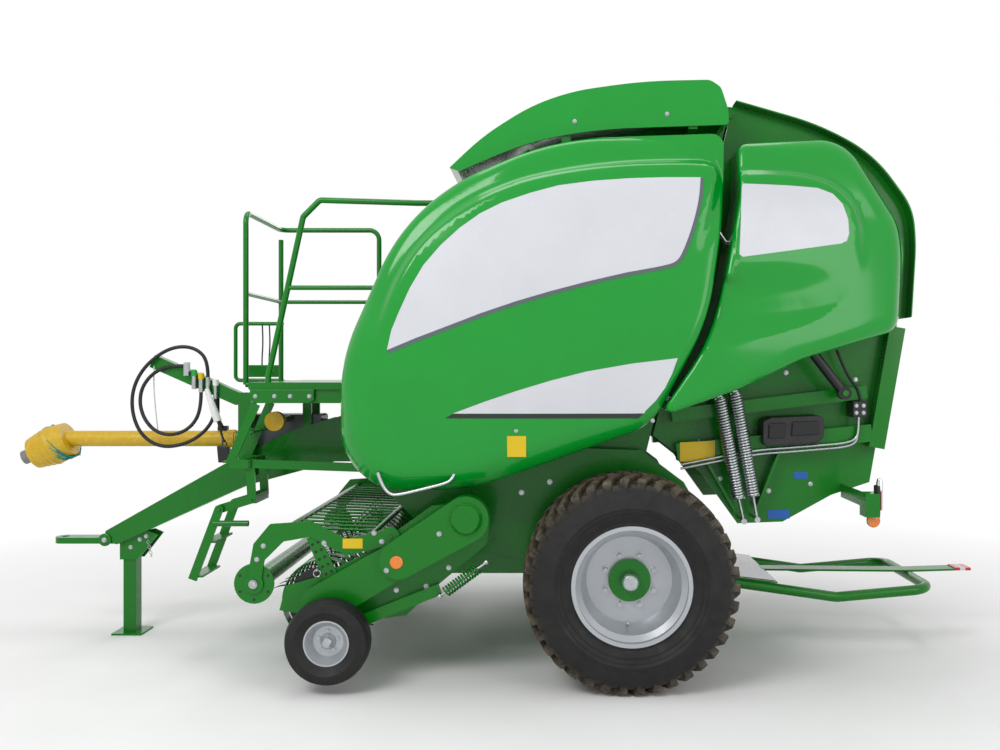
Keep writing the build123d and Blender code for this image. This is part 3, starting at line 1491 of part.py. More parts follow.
# Reel
with BuildPart() as reel:
    disc(reel_x, 0, reel_z, reel_shaft_radius, 2 * (pickup_side_y + plate))
    for number in range(tine_bars):
        angle = 2 * math.pi * number / tine_bars + math.radians(20)
        way = Vector(math.cos(angle), 0, math.sin(angle))
        bar_x = reel_x + reel_bar_circle * way.X
        bar_z = reel_z + reel_bar_circle * way.Z
        disc(bar_x, 0, bar_z, reel_bar_radius, 2 * reel_half_width)
        # Hooked tines that trail at their tips, all of one bar in one pattern
        trail = Vector(-way.Z, 0, way.X) * tine_trail
        root = Vector(bar_x, 0, bar_z)
        bend = root + way * (reel_tip_radius - reel_bar_circle) * tine_bend_share
        tip = Vector(reel_x, 0, reel_z) + way * reel_tip_radius * tine_tip_share + trail
        flank = Vector(-way.Z, 0, way.X) * tine_thickness / 2
        with BuildSketch(at_y(-tine_pitch * (tine_pairs - 1) / 2 - 1.5 * tine_thickness)) as hook:
            with BuildLine():
                lead = ThreePointArc(local(root - flank), local(bend - flank), local(tip - flank / 2))
                rear = ThreePointArc(local(root + flank), local(bend + flank), local(tip + flank / 2))
                Line(lead @ 0, rear @ 0)
                Line(lead @ 1, rear @ 1)
            make_face()
        with BuildPart(mode=Mode.PRIVATE) as tine:
            extrude(hook.sketch, amount=-3 * tine_thickness)
        for number_along in range(tine_pairs):
            add(Pos(0, number_along * tine_pitch, 0) * tine.part)
    for side_name, side in SIDES:
        disc(reel_x, side * reel_half_width, reel_z, reel_bar_circle + 2 * reel_bar_radius, plate)
save(reel.part, "reel")

# Chain covers on the left, a plain pivot cover on the right
with BuildPart() as chain_covers:
    cover_inner = pickup_side_y + plate / 2 + guard_gap
    for side_name, side in SIDES:
        side_depth = chain_cover_width if side < 0 else chain_cover_width / 2
        mid_y = side * (cover_inner + side_depth / 2)
        with BuildSketch(at_y(mid_y)) as upper:
            with Locations((pickup_pivot_x, pickup_pivot_z)):
                Circle(upper_cover_end_radius)
            with Locations((lower_cover_x, lower_cover_z)):
                Circle(lower_cover_end_radius)
            make_hull()
        extrude(upper.sketch, amount=side_depth / 2, both=True)
        if side < 0:
            with BuildSketch(at_y(side * cover_inner)) as lower:
                with Locations((lower_cover_x, lower_cover_z)):
                    Circle(lower_cover_end_radius * 0.95)
                with Locations((reel_x, reel_z)):
                    Circle(lower_cover_end_radius * 1.05)
                make_hull()
            extrude(lower.sketch, amount=side_depth / 2)
        # Spacers that hold the covers off the side plate
        upper_spacer_x = pickup_pivot_x - upper_cover_end_radius * 0.2
        upper_spacer_z = pickup_pivot_z - upper_cover_end_radius * 0.75
        for spacer_x, spacer_z in ((lower_cover_x, lower_cover_z), (upper_spacer_x, upper_spacer_z)):
            disc(
                spacer_x,
                side * (pickup_side_y + plate / 2 + seat_gap + guard_gap / 2),
                spacer_z,
                heavy_plate,
                guard_gap - seat_gap,
            )
save(chain_covers.part, "chain_covers")

# Arms that carry the gauge wheels
with BuildPart() as gauge_arms:
    for side_name, side in SIDES:
        arm_inner = pickup_side_y + plate / 2 + seat_gap
        arm_mid = side * (arm_inner + gauge_arm_size / 2)
        beam(
            (gauge_arm_rear[0], arm_mid, gauge_arm_rear[1]),
            (gauge_arm_front[0], arm_mid, gauge_arm_front[1]),
            gauge_arm_size,
            gauge_arm_size * 1.5,
        )
        beam(
            (gauge_arm_front[0] + gauge_arm_size / 2, arm_mid, gauge_arm_front[1]),
            (gauge_x, arm_mid, gauge_z),
            gauge_arm_size,
            gauge_arm_size,
        )
        stub_end = gauge_y + gauge_tyre_width * 0.3
        disc(gauge_x, side * (arm_inner + stub_end) / 2, gauge_z, gauge_axle_radius, stub_end - arm_inner)
save(gauge_arms.part, "gauge_arms")

for side_name, side in SIDES:
    gauge_mid = side * gauge_y
    with BuildPart() as gauge_tyre:
        half = gauge_tyre_width / 2
        with BuildSketch(Plane.YZ.offset(gauge_x)) as section:
            with BuildLine():
                Polyline(
                    (gauge_mid - half * 0.7, gauge_z + gauge_rim_radius),
                    (gauge_mid - half, gauge_z + gauge_tyre_radius * 0.75),
                    (gauge_mid - half * 0.9, gauge_z + gauge_tyre_radius * 0.95),
                    (gauge_mid - half * 0.5, gauge_z + gauge_tyre_radius),
                    (gauge_mid + half * 0.5, gauge_z + gauge_tyre_radius),
                    (gauge_mid + half * 0.9, gauge_z + gauge_tyre_radius * 0.95),
                    (gauge_mid + half, gauge_z + gauge_tyre_radius * 0.75),
                    (gauge_mid + half * 0.7, gauge_z + gauge_rim_radius),
                    close=True,
                )
            make_face()
        revolve(section.sketch, axis=Axis((gauge_x, 0, gauge_z), (0, 1, 0)))
    save(gauge_tyre.part, "gauge_tyre_" + side_name)
    with BuildPart() as gauge_rim:
        outer_y = gauge_mid + side * gauge_tyre_width * 0.35
        inner_y = gauge_mid - side * gauge_tyre_width * 0.35
        rim_top = gauge_z + gauge_rim_radius - seat_gap
        bore = gauge_z + gauge_axle_radius + pin_play
        with BuildSketch(Plane.YZ.offset(gauge_x)) as section:
            with BuildLine():
                Polyline(
                    (outer_y, rim_top),
                    (inner_y, rim_top),
                    (inner_y, rim_top - rim_wall),
                    (gauge_mid - side * rim_wall, rim_top - rim_step),
                    (gauge_mid - side * rim_wall, bore),
                    (gauge_mid + side * rim_step, bore),
                    (gauge_mid + side * rim_step, bore + rim_wall),
                    (gauge_mid, bore + rim_step),
                    (gauge_mid, rim_top - 1.5 * rim_step),
                    (outer_y, rim_top - rim_wall),
                    close=True,
                )
            make_face()
        revolve(section.sketch, axis=Axis((gauge_x, 0, gauge_z), (0, 1, 0)))
    save(gauge_rim.part, "gauge_rim_" + side_name)

# Crop guard
# Curved arms with a roller between them, hinged behind the reel.
guard_box = (guard_roller_x, guard_roller_z, guard_arm_length, guard_arm_height)
with BuildPart() as crop_guard:
    for side_name, side in SIDES:
        arm_points = spread(guard_arm_shares, *guard_box)
        side_plate(arm_points, side * guard_arm_y, guard_arm_thickness, guard_roller_radius * 0.3)
        disc(guard_roller_x, side * guard_arm_y, guard_roller_z, guard_roller_radius, guard_arm_thickness)
        disc(guard_pivot_x, side * guard_arm_y, guard_pivot_z, guard_roller_radius, guard_arm_thickness)
        disc(
            guard_pivot_x,
            side * guard_arm_y,
            guard_pivot_z,
            guard_pin_radius + pin_play,
            3 * guard_arm_thickness,
            mode=Mode.SUBTRACT,
        )
        disc(
            guard_roller_x,
            side * guard_arm_y,
            guard_roller_z,
            guard_pin_radius + pin_play,
            3 * guard_arm_thickness,
            mode=Mode.SUBTRACT,
        )
    cross_points = spread(guard_cross_shares, *guard_box)
    for cross_x, cross_z in cross_points:
        disc(cross_x, 0, cross_z, guard_cross_radius, 2 * guard_arm_y)
    first, second = cross_points
    for number in range(guard_rod_count):
        rod_y = (number - (guard_rod_count - 1) / 2) * guard_rod_pitch
        bar((first[0], rod_y, first[1]), (second[0], rod_y, second[1]), guard_rod_radius)
save(crop_guard.part, "crop_guard")

with BuildPart() as crop_roller:
    inner = guard_arm_y - guard_arm_thickness / 2 - 5 * pin_play
    disc(guard_roller_x, 0, guard_roller_z, guard_roller_radius, 2 * inner)
    disc(guard_roller_x, 0, guard_roller_z, guard_pin_radius, 2 * (guard_arm_y + guard_arm_thickness))
    for side_name, side in SIDES:
        disc(guard_roller_x, side * (inner - plate / 2), guard_roller_z, guard_flange_radius, plate)
save(crop_roller.part, "crop_roller")
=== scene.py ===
import bpy
import bmesh
import math
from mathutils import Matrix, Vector, kdtree
from mathutils.geometry import delaunay_2d_cdt


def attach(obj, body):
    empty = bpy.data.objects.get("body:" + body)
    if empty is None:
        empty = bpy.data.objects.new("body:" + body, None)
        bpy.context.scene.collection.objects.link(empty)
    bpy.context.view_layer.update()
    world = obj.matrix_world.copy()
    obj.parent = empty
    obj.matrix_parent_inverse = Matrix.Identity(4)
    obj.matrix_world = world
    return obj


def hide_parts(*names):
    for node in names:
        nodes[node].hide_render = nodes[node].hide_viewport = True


# Round baler, dressed for its portrait. Metres, +X to the rear, +Y to the
# machine's right, +Z up, the same frame as the solids.

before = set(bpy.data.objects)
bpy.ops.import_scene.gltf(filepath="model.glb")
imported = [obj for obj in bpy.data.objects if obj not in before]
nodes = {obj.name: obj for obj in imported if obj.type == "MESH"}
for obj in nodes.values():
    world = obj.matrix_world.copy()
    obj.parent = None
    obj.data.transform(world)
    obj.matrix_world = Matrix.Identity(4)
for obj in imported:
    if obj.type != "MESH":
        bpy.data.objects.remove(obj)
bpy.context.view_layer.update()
SIDES = (("left", -1), ("right", 1))

# Camera, at the photograph's viewing angle
camera_data = bpy.data.cameras.new("camera")
camera_data.lens = 36
camera_data.sensor_width = 36
camera_data.shift_x = -0.05
camera_data.shift_y = -0.007
camera_data.clip_end = 200
camera = bpy.data.objects.new("camera", camera_data)
camera.location = (0.3615, -6.4, 1.687)
camera.rotation_euler = (math.radians(90), 0, 0)
bpy.context.scene.collection.objects.link(camera)
bpy.context.scene.camera = camera
bpy.context.scene.view_settings.view_transform = "Standard"


# Materials
# Sizes of the patterns on the surfaces, in metres. Orange peel, brushing, moulded
# grain and weave are finer on the real thing, and are drawn as coarse as they need
# to be to show.
PANEL_CLOUD = 0.35
PAINT_SHEEN = 0.12
DUST_SPECK = 0.03
ORANGE_PEEL = 0.004
RUBBER_BLOOM = 0.05
RUBBER_SHEEN = 0.08
RUBBER_GRAIN = 0.0025
SOIL_CLOD = 0.045
ZINC_BLOTCH = 0.02
ZINC_SHEEN = 0.01
ZINC_BRUSHING = 0.0015
PLASTIC_SCUFF = 0.03
PLASTIC_SHEEN = 0.05
PLASTIC_GRAIN = 0.0015
HOSE_WEAVE = 0.001
ROPE_WEAVE = 0.002
BELT_WEAVE = 0.004
LENS_CELLS_PER_METRE = 250.0
FLOOR_CLOUD = 0.6


def linear(code, shade=1.0):
    """Linear colour of an sRGB hex code, darkened to a share of itself."""
    parts = [int(code[i:i + 2], 16) / 255 for i in (0, 2, 4)]
    light = [p / 12.92 if p <= 0.04045 else ((p + 0.055) / 1.055) ** 2.4 for p in parts]
    return tuple(shade * p for p in light) + (1,)


def add_node(tree, kind, settings=(), values=(), links=()):
    """Adds a node with its settings, input values and links."""
    node = tree.nodes.new(kind)
    for key, value in settings:
        setattr(node, key, value)
    for key, value in values:
        node.inputs[key].default_value = value
    for key, source in links:
        tree.links.new(source, node.inputs[key])
    return node


def new_material(name, **shader_values):
    """Material with a Principled shader and object-space coordinates."""
    made = bpy.data.materials.new(name)
    made.use_nodes = True
    tree = made.node_tree
    shader = tree.nodes["Principled BSDF"]
    for key, value in shader_values.items():
        shader.inputs[key.replace("_", " ")].default_value = value
    place = add_node(tree, "ShaderNodeTexCoord").outputs["Object"]
    return made, tree, shader, place


def noise(tree, place, size, detail=3.0, rough=0.55, stretch=None):
    """Noise whose grains are about size metres across, stretched along an axis if asked."""
    if stretch:
        place = add_node(
            tree, "ShaderNodeMapping", values=[("Scale", stretch)], links=[("Vector", place)],
        ).outputs[0]
    return add_node(
        tree, "ShaderNodeTexNoise",
        values=[("Scale", 1 / size), ("Detail", detail), ("Roughness", rough)],
        links=[("Vector", place)],
    ).outputs["Fac"]


def ramp(tree, factor, stops):
    """Colour ramp with stops of (place, colour)."""
    node = add_node(tree, "ShaderNodeValToRGB", links=[("Fac", factor)])
    while len(node.color_ramp.elements) < len(stops):
        node.color_ramp.elements.new(0.5)
    for element, (place, colour) in zip(node.color_ramp.elements, stops):
        element.position = place
        element.color = colour
    return node.outputs["Color"]


def grey(value):
    """Grey of a linear value, as a ramp's stop."""
    return (value, value, value, 1)


def blend(tree, factor, first, second):
    """Colour output that a factor takes from a linked colour to a fixed one."""
    node = add_node(
        tree, "ShaderNodeMix", [("data_type", "RGBA")], links=[("Factor", factor), ("A", first)],
    )
    node.inputs["B"].default_value = second
    return [output for output in node.outputs if output.type == "RGBA"][0]


def bump(tree, shader, height, strength, distance):
    """Relief of a height, distance metres deep, on the shader's normal."""
    node = add_node(
        tree, "ShaderNodeBump",
        values=[("Strength", strength), ("Distance", distance)],
        links=[("Height", height)],
    )
    tree.links.new(node.outputs["Normal"], shader.inputs["Normal"])


DUST_TOP = 0.9
DUST_FOOT = 0.05
DUST_SHARE = 0.18
ALL_OVER = -1.0


def paint(name, clean, dusty, roughness=(0.2, 0.34), coat=0.6, metallic=0.0, dust_top=DUST_TOP):
    """Sprayed paint over steel: even colour, faint orange peel, and dusty specks below a height."""
    made, tree, shader, place = new_material(
        name, Metallic=metallic, Coat_Weight=coat, Coat_Roughness=0.08, IOR=1.5, Specular_IOR_Level=0.3,
    )
    clouds = noise(tree, place, PANEL_CLOUD, 4)
    height = add_node(tree, "ShaderNodeSeparateXYZ", links=[("Vector", place)]).outputs["Z"]
    low = add_node(
        tree, "ShaderNodeMapRange",
        values=[("From Min", dust_top), ("From Max", DUST_FOOT), ("To Min", 0.0), ("To Max", DUST_SHARE)],
        links=[("Value", height)],
    ).outputs[0]
    specks = ramp(tree, noise(tree, place, DUST_SPECK, 6, 0.7), [(0.35, grey(0)), (0.75, grey(1))])
    dust = add_node(
        tree, "ShaderNodeMath", [("operation", "MULTIPLY")], links=[(0, specks), (1, low)],
    ).outputs[0]
    tone = ramp(tree, clouds, [(0.3, linear(clean, 0.93)), (0.7, linear(clean))])
    tree.links.new(blend(tree, dust, tone, linear(dusty)), shader.inputs["Base Color"])
    sheen = noise(tree, place, PAINT_SHEEN, 5, 0.65)
    gloss = ramp(tree, sheen, [(0.3, grey(roughness[0])), (0.8, grey(roughness[1]))])
    tree.links.new(gloss, shader.inputs["Roughness"])
    bump(tree, shader, noise(tree, place, ORANGE_PEEL, 2), 0.06, 0.0006)
    return made


# Gloss powder coat: deep saturated green with sharp highlights, dusty near the ground
green = paint("green_powder_coat_gloss", "007410", "3F6A24", coat=0.15)
# Lacquer of the moulded covers: brighter and glossier, its specks only a shade darker
cover_green = paint("green_cover_lacquer", "00952A", "008C28", (0.12, 0.2), 0.3, dust_top=ALL_OVER)
# Satin black machinery paint, slightly dusty
black_paint = paint("black_machine_paint", "17181A", "4A463E", (0.32, 0.5), 0.2)
# Satin slate powder coat of the gearbox
slate = paint("slate_powder_coat", "4A4F52", "6A675C", (0.32, 0.46), 0.25)
# Silver lacquer on pressed steel wheels: bright, with a soft metallic sheen
silver = paint("silver_wheel_lacquer", "B4B8BD", "8D8A80", (0.3, 0.45), 0.35, 0.5, 0.3)
FILM_GLOSS = (0.25, 0.35)
# White vinyl film laid over the lacquer: even, cool white with a soft gloss
white_film = paint("white_vinyl_film", "D2D4DA", "CACCD1", (0.22, 0.3), 0.2, dust_top=ALL_OVER)
# Dark grey vinyl line under the upper white field
slate_film = paint("slate_vinyl_film", "5A6468", "5A6468", FILM_GLOSS, 0.2, dust_top=ALL_OVER)
# Charcoal vinyl line under the lower white field
dark_film = paint("charcoal_vinyl_film", "2A2E30", "2A2E30", FILM_GLOSS, 0.2, dust_top=ALL_OVER)
# Yellow and blue vinyl labels, left blank: flat, strong colours with a soft gloss
yellow_film = paint("yellow_vinyl_film", "E0BE10", "E0BE10", FILM_GLOSS, 0.2, dust_top=ALL_OVER)
blue_film = paint("blue_vinyl_film", "1C5FB4", "1C5FB4", FILM_GLOSS, 0.2, dust_top=ALL_OVER)
# Red reflex film on the kicker's tip: glossier, under a clear top layer
red_film = paint("red_reflex_film", "D2121B", "C2242B", (0.2, 0.3), 0.5, dust_top=ALL_OVER)

# Radii between which the tread's worn ribs take on dry soil
SOIL_START, SOIL_FULL = 0.5, 0.565


def rubber(name, hub=None):
    """Moulded tyre rubber: near black, matt and dusty, and tan with dry soil on a worn tread."""
    made, tree, shader, place = new_material(name, IOR=1.52, Specular_IOR_Level=0.35)
    bloom = noise(tree, place, RUBBER_BLOOM, 6, 0.7)
    tones = [(0.42, linear("111113")), (0.62, linear("191816")), (0.85, linear("2C2923"))]
    colour = ramp(tree, bloom, tones)
    if hub:
        reach = add_node(
            tree, "ShaderNodeVectorMath", [("operation", "SUBTRACT")],
            [(1, (hub[0], 0, hub[1]))], [(0, place)],
        ).outputs[0]
        level = add_node(
            tree, "ShaderNodeVectorMath", [("operation", "MULTIPLY")], [(1, (1, 0, 1))], [(0, reach)],
        ).outputs[0]
        radius = add_node(
            tree, "ShaderNodeVectorMath", [("operation", "LENGTH")], links=[(0, level)],
        ).outputs["Value"]
        worn = add_node(
            tree, "ShaderNodeMapRange", values=[("From Min", SOIL_START), ("From Max", SOIL_FULL)],
            links=[("Value", radius)],
        ).outputs[0]
        soil = ramp(tree, noise(tree, place, SOIL_CLOD, 6, 0.7), [(0.38, grey(0.1)), (0.66, grey(1))])
        share = add_node(
            tree, "ShaderNodeMath", [("operation", "MULTIPLY")], links=[(0, worn), (1, soil)],
        ).outputs[0]
        colour = blend(tree, share, colour, linear("756956"))
    tree.links.new(colour, shader.inputs["Base Color"])
    rough = ramp(tree, noise(tree, place, RUBBER_SHEEN, 4), [(0.3, grey(0.5)), (0.8, grey(0.78))])
    tree.links.new(rough, shader.inputs["Roughness"])
    bump(tree, shader, noise(tree, place, RUBBER_GRAIN, 4), 0.25, 0.0012)
    return made


def zinc(name, tone, rough):
    """Zinc-plated steel: bright, slightly blotched and brushed along its height."""
    made, tree, shader, place = new_material(name, Metallic=1.0)
    blotches = noise(tree, place, ZINC_BLOTCH, 4)
    colour = ramp(tree, blotches, [(0.3, linear(tone, 0.75)), (0.75, linear(tone))])
    tree.links.new(colour, shader.inputs["Base Color"])
    sheen = noise(tree, place, ZINC_SHEEN, 4, 0.6, (1, 1, 6))
    gloss = ramp(tree, sheen, [(0.3, grey(rough * 0.7)), (0.8, grey(rough * 1.4))])
    tree.links.new(gloss, shader.inputs["Roughness"])
    bump(tree, shader, noise(tree, place, ZINC_BRUSHING, 2, 0.5, (1, 1, 8)), 0.1, 0.0004)
    return made


def plastic(name, tone, worn, rough, grain=PLASTIC_GRAIN):
    """Injection moulded plastic: satin with a fine sand grain and paler scuffs."""
    made, tree, shader, place = new_material(name, IOR=1.49)
    scuffs = noise(tree, place, PLASTIC_SCUFF, 7, 0.75)
    colour = ramp(tree, scuffs, [(0.5, linear(tone)), (0.8, linear(worn))])
    tree.links.new(colour, shader.inputs["Base Color"])
    sheen = noise(tree, place, PLASTIC_SHEEN, 3)
    gloss = ramp(tree, sheen, [(0.3, grey(rough * 0.85)), (0.8, grey(rough * 1.2))])
    tree.links.new(gloss, shader.inputs["Roughness"])
    bump(tree, shader, noise(tree, place, grain, 2), 0.12, 0.0004)
    return made


# Middle of a road wheel: x, half width of the tyre's middle plane, z
WHEEL = (0.782, 1.07, 0.565)
# Tractor tyre rubber, worn and soiled on its tread
tyre_rubber = rubber("tyre_rubber_moulded", hub=(WHEEL[0], WHEEL[2]))
# Rib tyre rubber of the gauge wheels, clean and dull
gauge_rubber = rubber("gauge_tyre_rubber_moulded")
# Zinc plated springs, bolts and pipes
steel = zinc("zinc_plated_steel", "BFC3C6", 0.3)
# Worn bare steel of rollers and yoke
bare_steel = zinc("worn_bare_steel", "8C8C88", 0.38)
# Hard chromed cylinder rod
chrome = zinc("hard_chromed_rod", "E2E4E6", 0.08)
# Yellow shaft guard, sun-bleached in scuffs
guard_yellow = plastic("yellow_guard_plastic", "C9A20E", "DCC25A", 0.42)
# Black moulded housings and caps, and the painted shade in the holes of the crop roller's plate and the
# height strip
black_plastic_and_hole_shade = plastic("black_moulded_plastic_and_hole_shade", "141516", "2C2D2E", 0.42)
# White moulded valve caps
white_plastic = plastic("white_moulded_plastic", "E6E8E6", "CFCFC8", 0.4)
# Green moulded valve cap
green_plastic = plastic("green_moulded_cap", "1F9A3C", "3CAB55", 0.4)
# Braided hydraulic hose cover, dull black
hose_rubber = plastic("hose_cover_rubber", "121213", "232323", 0.6, HOSE_WEAVE)
# Woven belt rubber: dull, with its cloth showing through
belt_rubber = plastic("belt_rubber_woven", "1D1D1C", "38352E", 0.7, BELT_WEAVE)
# Teal twine of the net thrown over the joint
net_cord = plastic("teal_net_twine", "1E8C82", "3FA59A", 0.7, ROPE_WEAVE)
# Polyester ropes, off-white and near black
rope_white = plastic("white_polyester_rope", "D8D8D2", "BEBCB2", 0.75, ROPE_WEAVE)
rope_dark = plastic("dark_polyester_rope", "1B1C20", "2B2C30", 0.75, ROPE_WEAVE)


def lens(name, tone):
    """Moulded prismatic reflector: saturated and glossy, with a fine grid of cells, each painted darker
    towards its rim as shade between the prisms.
    """
    made, tree, shader, place = new_material(
        name, Roughness=0.12, IOR=1.49, Coat_Weight=0.8, Coat_Roughness=0.04,
    )
    cells = add_node(
        tree, "ShaderNodeTexVoronoi", values=[("Scale", LENS_CELLS_PER_METRE)], links=[("Vector", place)],
    ).outputs["Distance"]
    # Painted shade: each cell darkens from its middle towards its rim, down to 0.6 of the lens colour
    colour = ramp(tree, cells, [(0.0, linear(tone)), (1.0, linear(tone, 0.6))])
    tree.links.new(colour, shader.inputs["Base Color"])
    bump(tree, shader, cells, 0.4, 0.0008)
    return made


amber_lens = lens("amber_reflector_lens", "FF8A12")
red_lens = lens("red_lamp_lens", "C8101C")

# Finish of each solid by the start of its node's name; the rest is green powder coat
NODE_FINISH = {
    "tyre": tyre_rubber, "rim": silver, "hub": green, "axle_beam": black_paint, "gearbox": slate,
    "shaft_guards": guard_yellow, "shaft_yoke": bare_steel, "shaft_stay": black_paint,
    "hose": hose_rubber, "hose_arm": green, "couplers": steel,
    "tailgate_rollers": bare_steel, "tailgate_belts": belt_rubber, "tailgate_springs": steel,
    "tail_lamps": green, "cylinder_barrel": black_paint, "cylinder_rod": chrome,
    "reel": black_paint, "gauge_tyre": gauge_rubber, "gauge_rim": silver,
    "front_cover": cover_green, "rear_covers": cover_green, "spoiler": cover_green,
}
for name, piece in nodes.items():
    found = [key for key in NODE_FINISH if name.startswith(key)]
    piece.data.materials.clear()
    piece.data.materials.append(NODE_FINISH[max(found, key=len)] if found else green)


def finish_mesh(name, build, finish, body, smooth=True):
    """Closes a bmesh as a piece that moves with a body."""
    mesh = bpy.data.meshes.new(name)
    build.to_mesh(mesh)
    build.free()
    for face in mesh.polygons:
        face.use_smooth = smooth
    mesh.materials.append(finish)
    piece = bpy.data.objects.new(name, mesh)
    bpy.context.scene.collection.objects.link(piece)
    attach(piece, body)
    return piece


# Hoses
# Each route's points repeat those of the solids.
SUPPLY = (
    (-1.6925, -0.2553, 1.4984), (-1.6925, -0.2553, 1.405), (-1.745, -0.275, 1.3), (-1.86, -0.29, 1.222),
    (-2.01, -0.296, 1.2), (-2.13, -0.296, 1.27), (-2.19, -0.292, 1.4), (-2.195, -0.284, 1.545),
    (-2.14, -0.274, 1.675), (-2.035, -0.266, 1.775), (-1.925, -0.262, 1.822), (-1.815, -0.257, 1.81),
    (-1.7402, -0.2553, 1.735), (-1.7402, -0.2553, 1.6302),
)
RETURN = (
    (-1.7826, -0.2553, 1.5384), (-1.7826, -0.2553, 1.43), (-1.83, -0.285, 1.325), (-1.93, -0.3, 1.275),
    (-2.035, -0.305, 1.292), (-2.11, -0.302, 1.368), (-2.145, -0.295, 1.468), (-2.135, -0.284, 1.57),
    (-2.075, -0.268, 1.655), (-1.985, -0.257, 1.7), (-1.8853, -0.257, 1.7),
)


def smooth_line(name, points, radius, finish, body):
    """Round cord on one smooth spline."""
    curve = bpy.data.curves.new(name, "CURVE")
    curve.dimensions = "3D"
    curve.bevel_depth = radius
    curve.bevel_resolution = 4
    curve.resolution_u = 10
    curve.use_fill_caps = True
    spline = curve.splines.new("NURBS")
    spline.points.add(len(points) - 1)
    for target, point in zip(spline.points, points):
        target.co = (*point, 1)
    spline.order_u = 3
    spline.use_endpoint_u = True
    piece = bpy.data.objects.new(name, curve)
    bpy.context.scene.collection.objects.link(piece)
    curve.materials.append(finish)
    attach(piece, body)
    return piece


HOSE_DIAMETER = 0.022
for hose_name, route, hose_length in (("supply", SUPPLY, 1.75), ("return", RETURN, 1.1)):
    hose = smooth_line("hose_line_" + hose_name, route, HOSE_DIAMETER / 2, hose_rubber, "base")
    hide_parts("hose_" + hose_name)

# Side covers
# A cover's face is a slice of one large bulge. Near its edge it rolls over, and inside a
# pocket line it steps in, as pressed or moulded covers do.
FAR = 9.0  # more than any distance on the machine
# The bulge's upright section through three places, (z, half width), and its plan
ARC = ((1.0, 1.105), (1.8348, 1.205), (2.98, 1.045))
BULGE_RADIUS = 7.3
BULGE_X = 0.2525


def circle_through(first, second, third):
    """Centre and radius of the circle through three places in a plane."""
    (ax, ay), (bx, by), (cx, cy) = first, second, third
    d = 2 * (ax * (by - cy) + bx * (cy - ay) + cx * (ay - by))
    ux = ((ax**2 + ay**2) * (by - cy) + (bx**2 + by**2) * (cy - ay) + (cx**2 + cy**2) * (ay - by)) / d
    uy = ((ax**2 + ay**2) * (cx - bx) + (bx**2 + by**2) * (ax - cx) + (cx**2 + cy**2) * (bx - ax)) / d
    return ux, uy, math.hypot(ax - ux, ay - uy)


ARC_Z, ARC_Y, ARC_RADIUS = circle_through(*ARC)


def bulge(x, z):
    """Half width of the covers' common bulge."""
    reach = ARC_Y + math.sqrt(max(ARC_RADIUS**2 - (z - ARC_Z) ** 2, 0))
    ring = reach - ARC[1][1] + BULGE_RADIUS
    return ARC[1][1] - BULGE_RADIUS + math.sqrt(max(ring**2 - (x - BULGE_X) ** 2, 0))


CORNER_ROOM = 0.499  # share of an outline's side that one corner may take


def rounded_outline(rows, step):
    """Places every step metres along a closed outline with rounded corners: (place, rolled width)."""
    count = len(rows)
    dense = []
    for i, (x, z, radius, width) in enumerate(rows):
        here = Vector((x, z))
        before = Vector(rows[i - 1][:2]) - here
        after = Vector(rows[(i + 1) % count][:2]) - here
        half = before.angle(after) / 2
        cut = radius / math.tan(half)
        room = CORNER_ROOM * min(before.length, after.length)
        radius = radius * min(1, room / cut)
        cut = min(cut, room)
        start = here + before.normalized() * cut
        end = here + after.normalized() * cut
        centre = here + (before.normalized() + after.normalized()).normalized() * (radius / math.sin(half))
        turn = math.pi - 2 * half
        pieces = max(2, int(radius * turn / step))
        first = start - centre
        sign = 1 if first.x * (end - centre).y - first.y * (end - centre).x > 0 else -1
        for k in range(pieces + 1):
            a = sign * turn * k / pieces
            cos, sin = math.cos(a), math.sin(a)
            spot = Vector((first.x * cos - first.y * sin, first.x * sin + first.y * cos))
            dense.append((centre + spot, width))
    points = []
    for i, (spot, width) in enumerate(dense):
        nxt, nxt_width = dense[(i + 1) % len(dense)]
        parts = max(1, int((nxt - spot).length / step))
        for k in range(parts):
            share = k / parts
            points.append((spot.lerp(nxt, share), width * (1 - share) + nxt_width * share))
    return points


def smooth_step(value):
    """Eased step from 0 to 1."""
    value = min(max(value, 0.0), 1.0)
    return value * value * (3 - 2 * value)


def line_distance(point, line):
    """Distance to an open line, and on which side of it the point lies."""
    best, side = FAR, 1
    for a, b in zip(line, line[1:]):
        run = b - a
        share = min(max((point - a).dot(run) / run.length_squared, 0), 1)
        gap = point - (a + run * share)
        if gap.length < best:
            best = gap.length
            side = 1 if run.x * (point - a).y - run.y * (point - a).x < 0 else -1
    return best, side


def pocket_depth(x, z, pocket):
    """How far the face is stepped in at a place inside a line, fading out towards a sloping foot."""
    line, depth, width, foot, slope, fade = pocket
    gap, side = line_distance(Vector((x, z)), line)
    if side < 0:
        return 0.0
    return depth * smooth_step(gap / width) * smooth_step((z - foot - slope * x) / fade)


def inside(x, z, ring):
    """Whether a place lies within a closed line."""
    found = False
    for (ax, az), (bx, bz) in zip(ring, ring[1:] + ring[:1]):
        if (az > z) != (bz > z) and x < (bx - ax) * (z - az) / (bz - az) + ax:
            found = not found
    return found


def ridge_places(line, gaps, step):
    """Places along both sides of a line, so that a stepped or creased face follows it."""
    places = []
    for a, b in zip(line, line[1:]):
        run = b - a
        off = Vector((run.y, -run.x)).normalized()
        count = max(1, int(run.length / step))
        for k in range(count):
            spot = a + run * (k / count)
            places.extend(spot + off * gap for gap in gaps)
    return places


def nearest_tree(places):
    """Search tree of places in (x, z)."""
    tree = kdtree.KDTree(len(places))
    for index, (x, z) in enumerate(places):
        tree.insert((x, 0, z), index)
    tree.balance()
    return tree


COVER_STEP = 0.018  # spacing of places along a cover's edge
COVER_CELL = COVER_STEP * 1.2  # spacing of places on its face
COVER_WALL = 0.012
ROLL_DROP = 0.7  # how far the edge rolls over, for its width
ROLL_SHARES = (0, 0.03, 0.08, 0.15, 0.24, 0.35, 0.48, 0.62, 0.78, 1.0)
WELD = 1e-5


